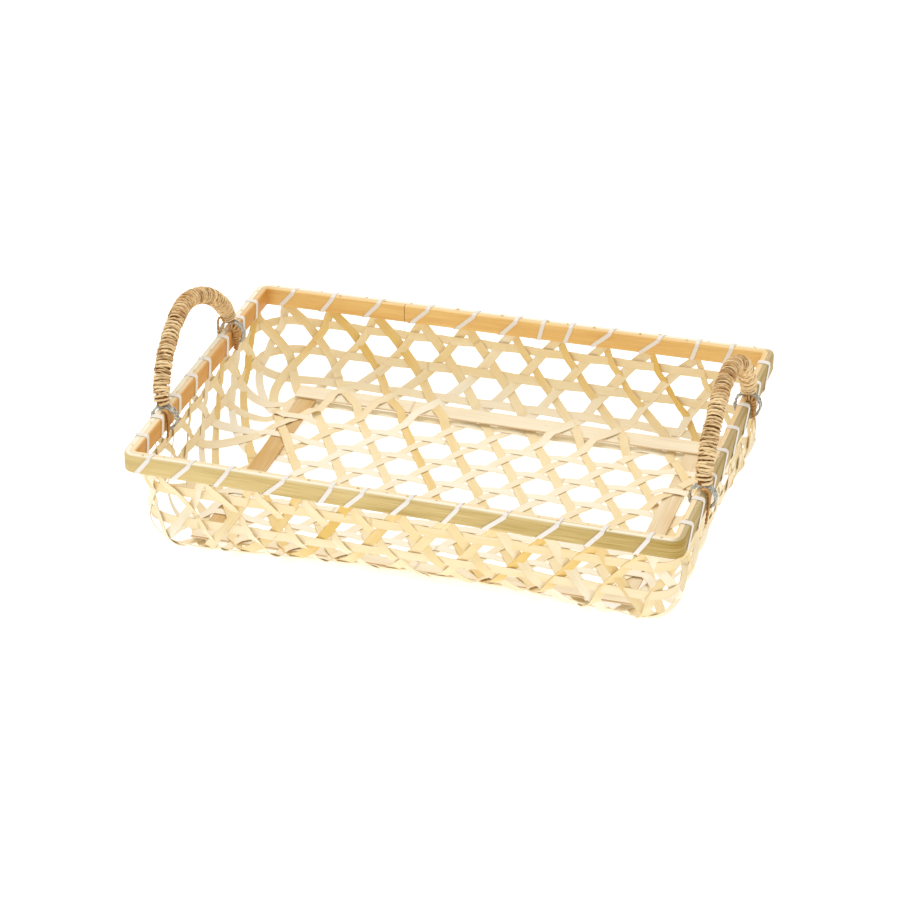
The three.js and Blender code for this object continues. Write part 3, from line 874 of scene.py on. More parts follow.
    def fold_radius(self, count: Array) -> Array:
        """Finds the radius of the bend from floor to wall, which is tighter near the corners.

        Args:
            count: Counts round the tray.

        Returns:
            The radius at each count.
        """
        quadrant, local = self.local(count)
        easings = np.array([self.long_easings, self.short_easings])
        easing = easings[(local > self.long_half).astype(int), quadrant]
        tight = np.array(self.corner_bends)[quadrant]
        return tight + (self.bend - tight) * smooth(np.abs(local - self.long_half) / easing)

    def point(self, count: Array, line: Array, depth: Array) -> Array:
        """Finds points of the wall.

        Args:
            count: Counts round the tray.
            line: Lines up the profile.
            depth: Depths in from the outer face.

        Returns:
            The points.
        """
        radius = self.fold_radius(count)
        flat = self.bend - radius
        length = 2.0 * flat + radius * math.pi / 2.0
        run = np.clip(line / self.bend_length, 0.0, 1.0) * length
        angle = np.clip((run - flat) / radius, 0.0, math.pi / 2.0)
        upright = np.maximum(run - flat - radius * math.pi / 2.0, 0.0)
        rise = np.maximum(line - self.bend_length, 0.0)
        flare = self.flare * smooth(rise / (self.rim_bottom - self.bend))
        reach = np.minimum(run, flat) + (radius - depth) * np.sin(angle) + flare + np.minimum(line, 0.0)
        height = radius * (1.0 - np.cos(angle)) + upright + rise + depth * np.cos(angle)
        share = smooth((height - self.rim_bottom + self.rim_blend) / self.rim_blend)
        wide = self.floor_corner + np.array(self.corner_flares)[self.local(count)[0]] * reach
        radius = wide * (1.0 - share) + (self.slot_corner - depth) * share
        radius = np.maximum(radius, self.least_corner)
        x, y = self.plan(count, self.flat_x + reach, self.flat_y + reach, radius)
        return np.stack([x, y, height], axis=1)

    def family(self, count: Array, lean: Array) -> Array:
        """Names the family of a strip on the wall.

        Args:
            count: Counts round the tray.
            lean: 1 where the strip rises, -1 where it falls and 0 where it is level.

        Returns:
            The family at each count.
        """
        on_long = self.local(count)[1] <= self.long_half
        falls_over = np.where(on_long, lean > 0, lean < 0)
        return np.where(lean == 0, Family.LEVEL, np.where(falls_over, Family.FALLING, Family.RISING))

    def warped(self, points: Array) -> Array:
        """Lifts two opposite rim corners and drops the others, as the real rim does.

        Args:
            points: Points of the tray.

        Returns:
            The moved points.
        """
        lifted = points.copy()
        twist = points[..., 0] * points[..., 1] / (self.rim_length * self.rim_depth / 4.0)
        lifted[..., 2] += self.warp * twist * smooth(points[..., 2] / self.rim_bottom)
        return lifted


@dataclass
class Run:
    """The places that a strip passes.

    Attributes:
        on_floor: Whether each place is on the flat floor.
        first: Its x on the floor, or its count on the wall.
        second: Its y on the floor, or its line on the wall.
        family: Family of the strip there.
    """

    on_floor: Array
    first: Array
    second: Array
    family: Array

    @staticmethod
    def wall(count: Array, line: Array, family: Array) -> "Run":
        """Makes a run on the wall."""
        return Run(np.zeros(len(count), bool), count, line, np.broadcast_to(family, count.shape).copy())

    def reverse(self) -> "Run":
        """Gives the run from its other end."""
        return Run(self.on_floor[::-1], self.first[::-1], self.second[::-1], self.family[::-1])

    def joined(self, other: "Run") -> "Run":
        """Gives this run followed by another."""
        pairs = zip(vars(self).values(), vars(other).values())
        return Run(*(np.concatenate(pair) for pair in pairs))

    def swapped(self) -> Array:
        """Gives the families of the mirror image."""
        return np.array([Family.FALLING, Family.RISING, Family.LEVEL])[self.family]

    def mirror_x(self) -> "Run":
        """Gives the mirror image from left to right."""
        return Run(self.on_floor, -self.first, self.second, self.swapped())

    def mirror_y(self, around: float) -> "Run":
        """Gives the mirror image from front to back, given the count half way round the tray."""
        first = np.where(self.on_floor, self.first, around - self.first)
        return Run(self.on_floor, first, np.where(self.on_floor, -self.second, self.second), self.swapped())

    def points(self, surface: TraySurface, depth: Array) -> Array:
        """Finds the points of the run at some depths.

        Args:
            surface: Surface that the run follows.
            depth: Depth at each place.

        Returns:
            The points.
        """
        count, line = (np.where(self.on_floor, 0.0, places) for places in (self.first, self.second))
        wall = surface.point(count, line, depth)
        floor = np.stack([self.first, self.second, depth], axis=1)
        return np.where(self.on_floor[:, None], floor, wall)


@dataclass
class Strip:
    """One woven strip.

    Attributes:
        name: Name of the CAD node that it stands for.
        run: Places that it passes.
        finish: Finish of the strip.
        seed: Seed of its small irregularities.
        closed: Whether it is a hoop.
        middle: Depth of its middle layer at each place.
        shift: Sideways stray at each place.
        centre: Points of its centre line.
        along: Length along it at each place.
        crossings: Length along it at each crossing, with 1 where it lies inside and -1 where outside.
    """

    name: str
    run: Run
    finish: Finish
    seed: int
    closed: bool = False
    middle: Array = field(init=False)
    shift: Array = field(init=False)
    centre: Array = field(init=False)
    along: Array = field(init=False)
    crossings: list[tuple[float, float]] = field(default_factory=list)


@dataclass
class Slat:
    """A flat stiffener of the floor.

    Attributes:
        name: Name of the CAD node that it stands for.
        along_x: Whether it lies along the long side.
        middle: Place of its middle line on the other axis.
        half_length: Half its length.
        inner_z: Height of its underside at the edge nearer the middle of the tray.
        outer_z: Height of its underside at its other edge.
        over: Stretches of its length where strips pass over it.
        tint: Shade of the slat.
        width: Width of the slat.
        thickness: Thickness of the slat.
        easing: Size of its eased edges.
        cut_share: Share of the cut edges' colour.
        stations: Sections along it.
        wobble: Greatest wander of its middle line.
        wobble_pace: Length between two turning points of the wander.
        margin: Distance beside it at which a strip still counts as on it.
        ceiling: Height below which a strip may count as on it.
    """

    name: str
    along_x: bool
    middle: float
    half_length: float
    inner_z: float
    outer_z: float
    over: tuple[tuple[float, float], ...]
    tint: float
    width: float = 13.0
    thickness: float = 1.6
    easing: float = 0.25
    cut_share: float = 0.85
    stations: int = 90
    wobble: float = 0.25
    wobble_pace: float = 40.0
    margin: float = 2.0
    ceiling: float = 12.0

    def axes(self, points: Array) -> tuple[Array, Array]:
        """Splits points into a place along the slat and a place across it, which grows outwards."""
        along, other = (0, 1) if self.along_x else (1, 0)
        return points[:, along], points[:, other] * math.copysign(1.0, self.middle) - abs(self.middle)

    def top(self, across: Array) -> Array:
        """Finds the height of its upper face at a place across it."""
        share = np.clip(across / self.width + 0.5, 0.0, 1.0)
        return self.inner_z + (self.outer_z - self.inner_z) * share + self.thickness

    def build(self, seed: int) -> None:
        """Builds the slat, with slightly uneven edges.

        Args:
            seed: Seed of the uneven edges.
        """
        along = np.linspace(-self.half_length, self.half_length, self.stations)
        from_end = along + self.half_length
        side = math.copysign(1.0, self.middle)
        across = side * (abs(self.middle) + self.wobble * wander(from_end, self.wobble_pace, seed))
        height = np.full_like(along, (self.inner_z + self.outer_z) / 2.0 + self.thickness / 2.0)
        section, marks = flat_section(self.width, self.thickness, self.easing)
        tilt = math.atan2(self.outer_z - self.inner_z, self.width)
        level, climb = math.cos(tilt), math.sin(tilt)
        turned = section[:, :1] * [[level, climb]] + section[:, 1:] * [[-climb, level]]
        if self.along_x:
            points = np.stack([along, across, height], axis=1)
            sideways = np.array([[0.0, side, 0.0]])
        else:
            points = np.stack([across, along, height], axis=1)
            sideways = np.array([[side, 0.0, 0.0]])
        rings = place_section(points, sideways, UP[None, :], turned)
        piece = Piece(self.name, Body.TRAY, Finish.SLAT)
        piece.wrap(rings, from_end, self.cut_share * marks, self.tint)
        piece.finish()


# Stretches of the end slats and of the long slats where strips pass over them.
END_ZONES = ((36.0, 72.0), (-72.0, -36.0))
SIDE_ZONES = ((-121.0, -36.0), (36.0, 90.0))
FLOOR_SLATS = (
    # The left slat's deeper tint is painted shade, as it lies under the strips in their shade.
    Slat("floor_slat_left", False, -135.5, 95.0, 1.45, 1.45, END_ZONES, 0.85),
    Slat("floor_slat_right", False, 135.5, 95.0, 1.45, 1.45, END_ZONES, 0.42),
    Slat("floor_slat_front", True, -100.5, 144.0, 3.2, 5.2, SIDE_ZONES, 0.15),
    Slat("floor_slat_back", True, 100.5, 144.0, 3.2, 5.2, SIDE_ZONES, 0.05),
)
# Share of its turn past which a strip leans, along a fold and round a corner, and the counts from a
# corner to the rim crossings of the strip round it.
FOLD_LEANS = 0.7
CORNER_LEANS = 0.3
CORNER_SPREAD = 3.0


@dataclass
class Weave:
    """The woven strips of the tray and the slats that stiffen its floor."""

    surface: TraySurface
    slats: tuple[Slat, ...] = FLOOR_SLATS
    # Strips, and their middle depth on the floor and in the slot of the rim.
    strip_width: float = 6.6
    strip_widths: tuple[float, float] = (0.9, 1.06)
    strip_thickness: float = 0.5
    strip_easing: float = 0.2
    floor_middle: float = 0.66
    slot_middle: float = 1.7
    slot_line: float = 60.0
    depth_step: float = 0.3
    # How far a strip goes to either side at a crossing, and in which share of the way it changes sides.
    rise: float = 0.4
    slot_rise: float = 0.28
    slot_blend: float = 3.0
    level_share: float = 0.33
    turn_share: float = 0.34
    # Steps and sideways strays of a strip, and the distances that make a crossing.
    pace: float = 1.5
    stray: float = 0.55
    stray_pace: float = 55.0
    box_margin: float = 1.0
    touch: float = 1.3
    touch_break: int = 3
    lift_run: float = 13.0
    # Shades and cut edges on the floor, and the painted shade that the wall adds to them.
    shade_spread: float = 0.85
    shade_drop: float = 0.2
    wall_shade: float = 0.42
    wall_from: float = 10.0
    wall_over: float = 22.0
    floor_edge: float = 0.65
    wall_edge: float = 0.35
    strips: list[Strip] = field(default_factory=list)

    def wall_end(self, start: float, slope: float, crossing: float, lean: int, family: Family) -> Run:
        """Follows a strip end from the edge of the flat floor up to its tip in the rim.

        Args:
            start: Count at the edge of the flat floor.
            slope: Change of count with the line there.
            crossing: Count at which it meets the rim.
            lean: 1 where it rises towards growing counts, -1 the other way.
            family: Family on this wall.

        Returns:
            The run of the strip end.
        """
        tray = self.surface
        line = np.linspace(0.0, tray.tip_line, int(tray.tip_line / self.pace))
        straight = crossing + lean * tray.lean * (line - tray.crossing_line)
        settled = crossing + lean * tray.lean * (tray.settle - tray.crossing_line)
        u = np.minimum(line / tray.settle, 1.0)
        eased = (start * (1.0 + 2.0 * u) * (1.0 - u) ** 2 + slope * tray.settle * u * (1.0 - u) ** 2
                 + settled * (3.0 - 2.0 * u) * u ** 2 - lean * tray.lean * tray.settle * (1.0 - u) * u ** 2)
        return Run.wall(np.where(line < tray.settle, eased, straight), line, family)

    def floor_run(self, lower: Run, upper: Run, family: Family) -> Run:
        """Joins two strip ends by a straight run over the floor.

        Args:
            lower: One end, from its floor edge upwards.
            upper: The other end, from its floor edge upwards.
            family: Family on the floor.

        Returns:
            The run from tip to tip.
        """
        ends = [end.points(self.surface, np.zeros(len(end.first)))[0, :2] for end in (lower, upper)]
        steps = int(np.linalg.norm(ends[1] - ends[0]) / self.pace)
        share = (np.arange(1, steps) / steps)[:, None]
        flat = ends[0] * (1.0 - share) + ends[1] * share
        floor = Run(np.ones(len(flat), bool), flat[:, 0], flat[:, 1], np.full(len(flat), int(family)))
        return lower.reverse().joined(floor).joined(upper)

    def diagonal_end(self, index: int) -> Run:
        """Follows the lower end of a falling diagonal, on the front wall or past the corner.

        Args:
            index: Number of the diagonal from the left.

        Returns:
            The run of the strip end.
        """
        tray = self.surface
        offset = tray.diagonal_pitch * (index - (tray.diagonals - 1) / 2.0)
        last_front = int(2.0 * tray.long_half) - 2
        if index <= last_front:
            start = (offset + tray.diagonal_lean * tray.flat_y) / tray.long_pitch
            return self.wall_end(start, tray.diagonal_lean / tray.long_pitch, index - 3, 1, Family.FALLING)
        y = (offset - tray.flat_x) / tray.diagonal_lean
        slope = -1.0 / tray.diagonal_lean / tray.short_pitch
        crossing = 2 * index - 2 * last_front + 2
        return self.wall_end(tray.quarter + y / tray.short_pitch, slope, crossing, -1, Family.FALLING)

    def diagonal(self, index: int) -> Run:
        """Follows a falling diagonal from wall to wall.

        Args:
            index: Number of the diagonal from the left.

        Returns:
            The run from tip to tip.
        """
        half_way = 2.0 * self.surface.quarter
        far = self.diagonal_end(self.surface.diagonals - 1 - index)
        return self.floor_run(self.diagonal_end(index), far.mirror_y(half_way).mirror_x(), Family.FALLING)

    def long_strip(self, row: int) -> Run:
        """Follows a long strip, whose ends lean away from the front on both short walls.

        Args:
            row: Number of the row from the front.

        Returns:
            The run from tip to tip.
        """
        tray = self.surface
        y = tray.row_spacing * (row - (tray.floor_rows - 1) / 2.0)
        crossing = tray.long_half + row + 2.5
        right = self.wall_end(tray.quarter + y / tray.short_pitch, 0.0, crossing, 1, Family.RISING)
        return self.floor_run(right.mirror_x(), right, Family.LEVEL)

    def fold_strip(self, fold_line: float, crossing: float, easing: float) -> Run:
        """Follows a strip along the front fold that rises round both front corners.

        Args:
            fold_line: Line that it follows along the front.
            crossing: Count at which it meets the rim.
            easing: Counts each way in which it turns upwards.

        Returns:
            The run from tip to tip.
        """
        tray = self.surface
        start = crossing + tray.lean * (fold_line - tray.crossing_line) - easing
        finish = crossing + tray.lean * (tray.tip_line - tray.crossing_line)
        count = np.linspace(-finish, finish, int(2.0 * finish * tray.long_pitch / self.pace))
        past = np.maximum(np.abs(count) - start, 0.0)
        rise = np.where(past < 2.0 * easing, past ** 2 / (4.0 * easing), past - easing)
        lean = np.where(past > FOLD_LEANS * easing, np.sign(count), 0.0)
        return Run.wall(count, fold_line + rise / tray.lean, tray.family(count, lean))

    def corner_strip(self) -> Run:
        """Follows a strip down the left wall, round the front left corner and up the front wall.

        Returns:
            The run from tip to tip.
        """
        tray = self.surface
        spread = CORNER_SPREAD
        reach = spread + tray.lean * (tray.tip_line - tray.crossing_line)
        easing = 2.0 * (spread - tray.lean * (tray.crossing_line - tray.edge_line))
        shift = np.linspace(-reach, reach, int(2.0 * reach * tray.long_pitch / self.pace))
        curved = shift ** 2 / (2.0 * easing) + easing / 2.0
        height = np.where(np.abs(shift) < easing, curved, np.abs(shift))
        count = -tray.long_half - 0.5 + shift
        lean = np.where(np.abs(shift) > CORNER_LEANS * easing, np.sign(shift), 0.0)
        return Run.wall(count, tray.crossing_line + (height - spread) / tray.lean, tray.family(count, lean))

    def hoop(self, line: float) -> Run:
        """Follows a level hoop once round the tray.

        Args:
            line: Line of the hoop.

        Returns:
            The run, whose end joins its start.
        """
        tray = self.surface
        steps = int(4.0 * tray.quarter * tray.long_pitch / self.pace)
        count = np.arange(steps) * 4.0 * tray.quarter / steps
        level = np.full(steps, line)
        return Run.wall(count, level, tray.family(count, np.zeros(steps)))

    def add(self, name: str, run: Run, finish: Finish, closed: bool = False) -> None:
        """Adds a strip to the weave."""
        self.strips.append(Strip(name, run, finish, 11 * len(self.strips) + 3, closed))

    def lay_out(self) -> None:
        """Lists all the strips."""
        tray = self.surface
        half_way = 2.0 * tray.quarter
        for index in range(1, tray.diagonals - 1):
            run = self.diagonal(index)
            self.add(f"diagonal_left_{index}", run, Finish.GOLDEN)
            self.add(f"diagonal_right_{index}", run.mirror_y(half_way), Finish.PALE)
        edge = self.fold_strip(tray.edge_line, tray.long_half + 2.5, 0.9)
        self.add("long_strip_1", edge, Finish.PALE)
        self.add(f"long_strip_{tray.floor_rows}", edge.mirror_y(half_way), Finish.PALE)
        for row in range(2, tray.floor_rows, 2):
            run = self.long_strip(row)
            self.add(f"long_strip_{row + 1}", run, Finish.PALE)
            self.add(f"long_strip_{tray.floor_rows - row}", run.mirror_y(half_way), Finish.PALE)
        fold = self.fold_strip(tray.fold_line, tray.long_half + 1.5, 0.8)
        self.add("fold_strip_front", fold, Finish.PALE)
        self.add("fold_strip_back", fold.mirror_y(half_way), Finish.PALE)
        corner = self.corner_strip()
        self.add("corner_strip_front_left", corner, Finish.GOLDEN)
        self.add("corner_strip_front_right", corner.mirror_x(), Finish.PALE)
        self.add("corner_strip_back_left", corner.mirror_y(half_way), Finish.PALE)
        self.add("corner_strip_back_right", corner.mirror_y(half_way).mirror_x(), Finish.GOLDEN)
        self.add("wall_hoop_lower", self.hoop(tray.hoop_lines[0]), Finish.PALE, closed=True)
        self.add("wall_hoop_upper", self.hoop(tray.hoop_lines[1]), Finish.PALE, closed=True)

    def trace(self, strip: Strip) -> None:
        """Works out the middle depth, the small sideways strays and the centre line of a strip.

        Args:
            strip: Strip that takes them.
        """
        line = np.where(strip.run.on_floor, 0.0, strip.run.second)
        settled = smooth(line / self.slot_line)
        strip.middle = self.floor_middle + (self.slot_middle - self.floor_middle) * settled
        points = strip.run.points(self.surface, strip.middle)
        strip.along = run_length(points)
        stray = self.stray * wander(strip.along, self.stray_pace, strip.seed)
        if strip.closed:
            stray *= np.sin(math.pi * np.arange(len(points)) / len(points)) ** 0.5
        sideways = side_frames(points, self.normals(strip, strip.middle), strip.closed)[0]
        strip.shift = sideways * stray[:, None]
        strip.centre = points + strip.shift

    def normals(self, strip: Strip, depth: Array) -> Array:
        """Finds the inward normals along a strip.

        Args:
            strip: Strip that is followed.
            depth: Depth at each place.

        Returns:
            The normals.
        """
        inner, outer = (strip.run.points(self.surface, depth + step)
                        for step in (self.depth_step, -self.depth_step))
        return unit(inner - outer)

    def far_apart(self, first: Strip, second: Strip) -> bool:
        """Compares the boxes round two strips.

        Args:
            first: One strip.
            second: The other strip.

        Returns:
            Whether they are clear of each other.
        """
        low = np.maximum(first.centre.min(0), second.centre.min(0))
        high = np.minimum(first.centre.max(0), second.centre.max(0))
        return bool((low > high + self.box_margin).any())

    def find_crossings(self) -> None:
        """Finds where strips cross, and which of the two lies on the inner side."""
        for i, first in enumerate(self.strips):
            for second in self.strips[i + 1:]:
                if self.far_apart(first, second):
                    continue
                gaps = np.linalg.norm(first.centre[:, None, :] - second.centre[None, :, :], axis=2)
                near = gaps.min(axis=1)
                rows = np.flatnonzero(near < self.touch)
                for group in np.split(rows, np.flatnonzero(np.diff(rows) > self.touch_break) + 1):
                    if len(group):
                        a = int(group[np.argmin(near[group])])
                        self.note_crossing(first, a, second, int(np.argmin(gaps[a])))

    def note_crossing(self, first: Strip, a: int, second: Strip, b: int) -> None:
        """Notes one crossing on both strips.

        Args:
            first: One of the strips.
            a: Number of the crossing's place on it.
            second: The other strip.
            b: Number of the crossing's place on that one.
        """
        step = (int(second.run.family[b]) - int(first.run.family[a])) % len(Family)
        above = step == 1 if step else first.name < second.name
        for slat in self.slats:
            lifted = [self.passes_over(strip, slat)[index] for strip, index in ((first, a), (second, b))]
            if lifted[0] != lifted[1]:
                above = bool(lifted[0])
        first.crossings.append((first.along[a], 1.0 if above else -1.0))
        second.crossings.append((second.along[b], -1.0 if above else 1.0))

    @staticmethod
    def passes_over(strip: Strip, slat: Slat) -> Array:
        """Marks the places where a strip lies over a slat.

        Args:
            strip: Strip with its centre line.
            slat: Slat of the floor.

        Returns:
            Whether each place of the strip does.
        """
        along, across = slat.axes(strip.centre)
        on_slat = (np.abs(across) < slat.width / 2.0 + slat.margin) & (strip.centre[:, 2] < slat.ceiling)
        middle = along[on_slat].mean() if on_slat.any() else math.inf
        return on_slat & any(low <= middle <= high for low, high in slat.over)

    def bends(self, strip: Strip) -> Array:
        """Works out how far a strip lies to the inner or outer side along its length.

        Args:
            strip: Strip with its crossings.

        Returns:
            The distance to the inner side at each place.
        """
        marks = sorted(strip.crossings)
        if not marks:
            return np.zeros_like(strip.along)
        if strip.closed:
            length = strip.along[-1] + strip.along[1]
            marks = [(marks[-1][0] - length, marks[-1][1])] + marks + [(marks[0][0] + length, marks[0][1])]
        place, sign = np.array(marks).T
        index = np.clip(np.searchsorted(place, strip.along) - 1, 0, max(len(place) - 2, 0))
        after = np.minimum(index + 1, len(place) - 1)
        span = np.maximum(place[after] - place[index], TINY)
        share = smooth(((strip.along - place[index]) / span - self.level_share) / self.turn_share)
        line = np.where(strip.run.on_floor, 0.0, strip.run.second)
        inside = smooth((line - self.surface.crossing_line + self.slot_blend) / (2.0 * self.slot_blend))
        rise = self.rise + (self.slot_rise - self.rise) * inside
        return rise * (sign[index] * (1.0 - share) + sign[after] * share)

    def lift_over(self, strip: Strip, points: Array, bends: Array) -> Array:
        """Works out how much higher a strip goes where it passes over slats.

        Args:
            strip: Strip that is lifted.
            points: Its points before the lift.
            bends: How far it lies to the inner side at each point.

        Returns:
            The lift at each point.
        """
        lift = np.zeros(len(points))
        for slat in self.slats:
            marked = self.passes_over(strip, slat)
            if not marked.any():
                continue
            start, end = strip.along[marked].min(), strip.along[marked].max()
            apart = np.maximum(np.abs(strip.along - (start + end) / 2.0) - (end - start) / 2.0, 0.0)
            top = slat.top(slat.axes(points)[1])
            wanted = top + self.strip_thickness + self.rise + bends - points[:, 2]
            lift = np.maximum(lift, np.maximum(wanted, 0.0) * smooth(1.0 - apart / self.lift_run))
        return lift

    def weave_strip(self, strip: Strip) -> None:
        """Builds one strip, over and under its neighbours.

        Args:
            strip: Strip with its crossings.
        """
        tray = self.surface
        draw = random.Random(strip.seed)
        bends = self.bends(strip)
        depth = strip.middle + bends
        points = strip.run.points(tray, depth) + strip.shift
        normals = self.normals(strip, depth)
        lift = self.lift_over(strip, points, bends) * np.maximum(normals[:, 2], 0.0)
        points = points + normals * lift[:, None]
        width = self.strip_width * draw.uniform(*self.strip_widths)
        section, marks = flat_section(width, self.strip_thickness, self.strip_easing)
        sideways, upward = side_frames(points, normals, strip.closed)
        rings = tray.warped(place_section(points, sideways, upward, section))
        piece = Piece(strip.name, Body.TRAY, strip.finish)
        # Painted shade: the strips and their cut edges grow darker up the wall, and the floor, where the
        # light falls, stays paler.
        painted_shade_rise = smooth((points[:, 2] - self.wall_from) / self.wall_over)
        shade = self.shade_spread * draw.uniform(0.0, 1.0) - self.shade_drop + self.wall_shade * painted_shade_rise
        edges = (self.floor_edge + self.wall_edge * painted_shade_rise[:, None]) * marks
        piece.wrap(rings, strip.along, edges, shade, strip.closed)
        piece.finish()

    def build(self) -> None:
        """Builds the slats and all the strips."""
        for number, slat in enumerate(self.slats):
            slat.build(number)
        self.lay_out()
        for strip in self.strips:
            self.trace(strip)
        self.find_crossings()
        for strip in self.strips:
            self.weave_strip(strip)


@dataclass(frozen=True)
class HoopDress:
    """How one hoop of the rim is dressed.

    Attributes:
        name: CAD node that it stands for.
        outer: Whether it is the outer hoop.
        finish: Finish of its broad faces.
        places: Places along the long side where its shade is given.
        tints: Shade at each of those places.
        joint: Place of the joint of its ends.
        dull_axis: Axis along which its pale edges grow dull, 0 for x and 1 for y.
        dull_from: Place on that axis where they start to.
        dull_over: Length in which they do.
        dull_share: Share of their paleness that goes.
        seed: Seed of its uneven edges.
    """

    name: str
    outer: bool
    finish: Finish
    places: tuple[float, ...]
    tints: tuple[float, ...]
    joint: tuple[float, float]
    dull_axis: int
    dull_from: float
    dull_over: float
    dull_share: float
    seed: int


@dataclass(frozen=True)
class LashingRun:
    """Where the lashing goes on one side of the rim, from the middle of that side.

    Attributes:
        side: Name of the side.
        outward: Outward direction of the side.
        bottoms: Places where the strip starts up the outer face.
        tops: Places where it goes over the top.
        downs: Places where it reaches the bottom of the inner face.
    """

    side: str
    outward: Place
    bottoms: tuple[float, ...]
    tops: tuple[float, ...]
    downs: tuple[float, ...]


HOOPS = (
    # The outer hoop's shade deepens and its pale edges dull past x 170, on its right side: painted shade.
    HoopDress("rim_outer_hoop", True, Finish.RIM_OUTER, (-180.0, -60.0, 60.0, 170.0, 180.0),
              (0.12, 0.2, 0.35, 0.6, 0.95), (60.0, 128.0), 0, 170.0, 8.0, 0.75, 5),
    HoopDress("rim_inner_hoop", False, Finish.RIM_INNER, (-174.0, -165.0, 175.0), (0.95, 0.38, 0.35),
              (-72.0, 124.0), 1, -60.0, 120.0, 0.5, 6),
)
# Signs of the corners, from the front right one round.
CORNERS = ((1, -1), (1, 1), (-1, 1), (-1, -1))
# Steps of an eased corner in from both faces, in easings, and the share of the pale edge at each.
EASED_CORNER = ((0.0, 1.6), (0.3, 0.5), (1.0, 0.1), (1.6, 0.0))
SKIN_MARKS = (0.0, 0.1, 0.55, 1.0)
# Each bend of the lashing: side and end of the rim, easings in from both, outward and upward parts of the
# direction that it faces, and its share of the turn, with 0 to 1 up the outer face and 2 down the inner one.
LASHING_STOPS = (
    (1.0, -1.0, 0.0, 1.0, 1.0, 0.0, 0.0),
    (1.0, 1.0, 0.0, 1.5, 1.0, 0.0, 1.0),
    (1.0, 1.0, 0.45, 0.45, 0.7, 0.7, 1.02),
    (1.0, 1.0, 1.5, 0.0, 0.0, 1.0, 1.05),
    (-1.0, 1.0, 1.5, 0.0, 0.0, 1.0, 1.12),
    (-1.0, 1.0, 0.45, 0.45, -0.7, 0.7, 1.15),
    (-1.0, 1.0, 0.0, 1.5, -1.0, 0.0, 1.17),
    (-1.0, -1.0, 0.0, 1.0, -1.0, 0.0, 2.0),
    (-1.0, -1.0, 0.45, 0.45, -0.7, -0.7, 2.03),
    (-1.0, -1.0, 1.5, 0.0, 0.0, -1.0, 2.1),
    (1.0, -1.0, 1.5, 0.0, 0.0, -1.0, 2.85),
    (1.0, -1.0, 0.45, 0.45, 0.7, -0.7, 2.93),
)
# Bends under the rim that the last turn leaves off, and the shares of a turn that its places stand for.
UNDER_STOPS = 4
TURN_SHARES = (0.0, 1.0, 2.0, 3.0)
FRONT_BOTTOMS = (-169.6, -145.0, -117.0, -84.0, -48.5, -32.0, -2.0, 31.0, 56.5, 91.0, 121.0, 151.5)
FRONT_TOPS = (-161.5, -134.8, -109.5, -73.0, -42.0, -21.8, 7.6, 39.0, 69.0, 102.0, 130.0, 158.5)
# On the front the strip is down at 0.6 of the way from its top to its next start.
FRONT_DOWNS = tuple(top + 0.6 * (low - top) for low, top in zip(FRONT_BOTTOMS[1:], FRONT_TOPS))
LASHING_RUNS = (
    LashingRun("front", (0.0, -1.0, 0.0), FRONT_BOTTOMS, FRONT_TOPS, (*FRONT_DOWNS, 168.0)),
    LashingRun("right", (1.0, 0.0, 0.0), (-118.0, -89.0, -58.0, -26.0, 4.0, 35.0, 68.0, 96.0),
               (-106.0, -76.0, -45.0, -13.0, 17.0, 48.0, 80.0, 108.0),
               (-102.0, -72.0, -41.0, -9.0, 21.0, 52.0, 84.0, 112.0)),
    LashingRun("back", (0.0, 1.0, 0.0),
               (-167.0, -146.0, -123.0, -89.0, -56.0, -32.0, -15.0, 15.0, 46.0, 79.0, 110.0, 141.0),
               (-152.0, -129.0, -104.5, -71.0, -42.5, -23.0, -5.5, 23.5, 56.0, 91.0, 124.0, 152.5),
               (-147.0, -125.0, -90.0, -57.0, -38.0, -20.0, 6.0, 37.0, 69.0, 102.0, 133.0, 163.0)),
    LashingRun("left", (-1.0, 0.0, 0.0), (-116.0, -90.0, -59.0, -25.0, 1.0, 31.0, 61.0, 88.0),
               (-101.0, -75.0, -44.0, -10.0, 15.0, 45.0, 76.0, 102.0),
               (-99.0, -73.0, -42.0, -8.0, 17.0, 47.0, 78.0, 104.0)),
)


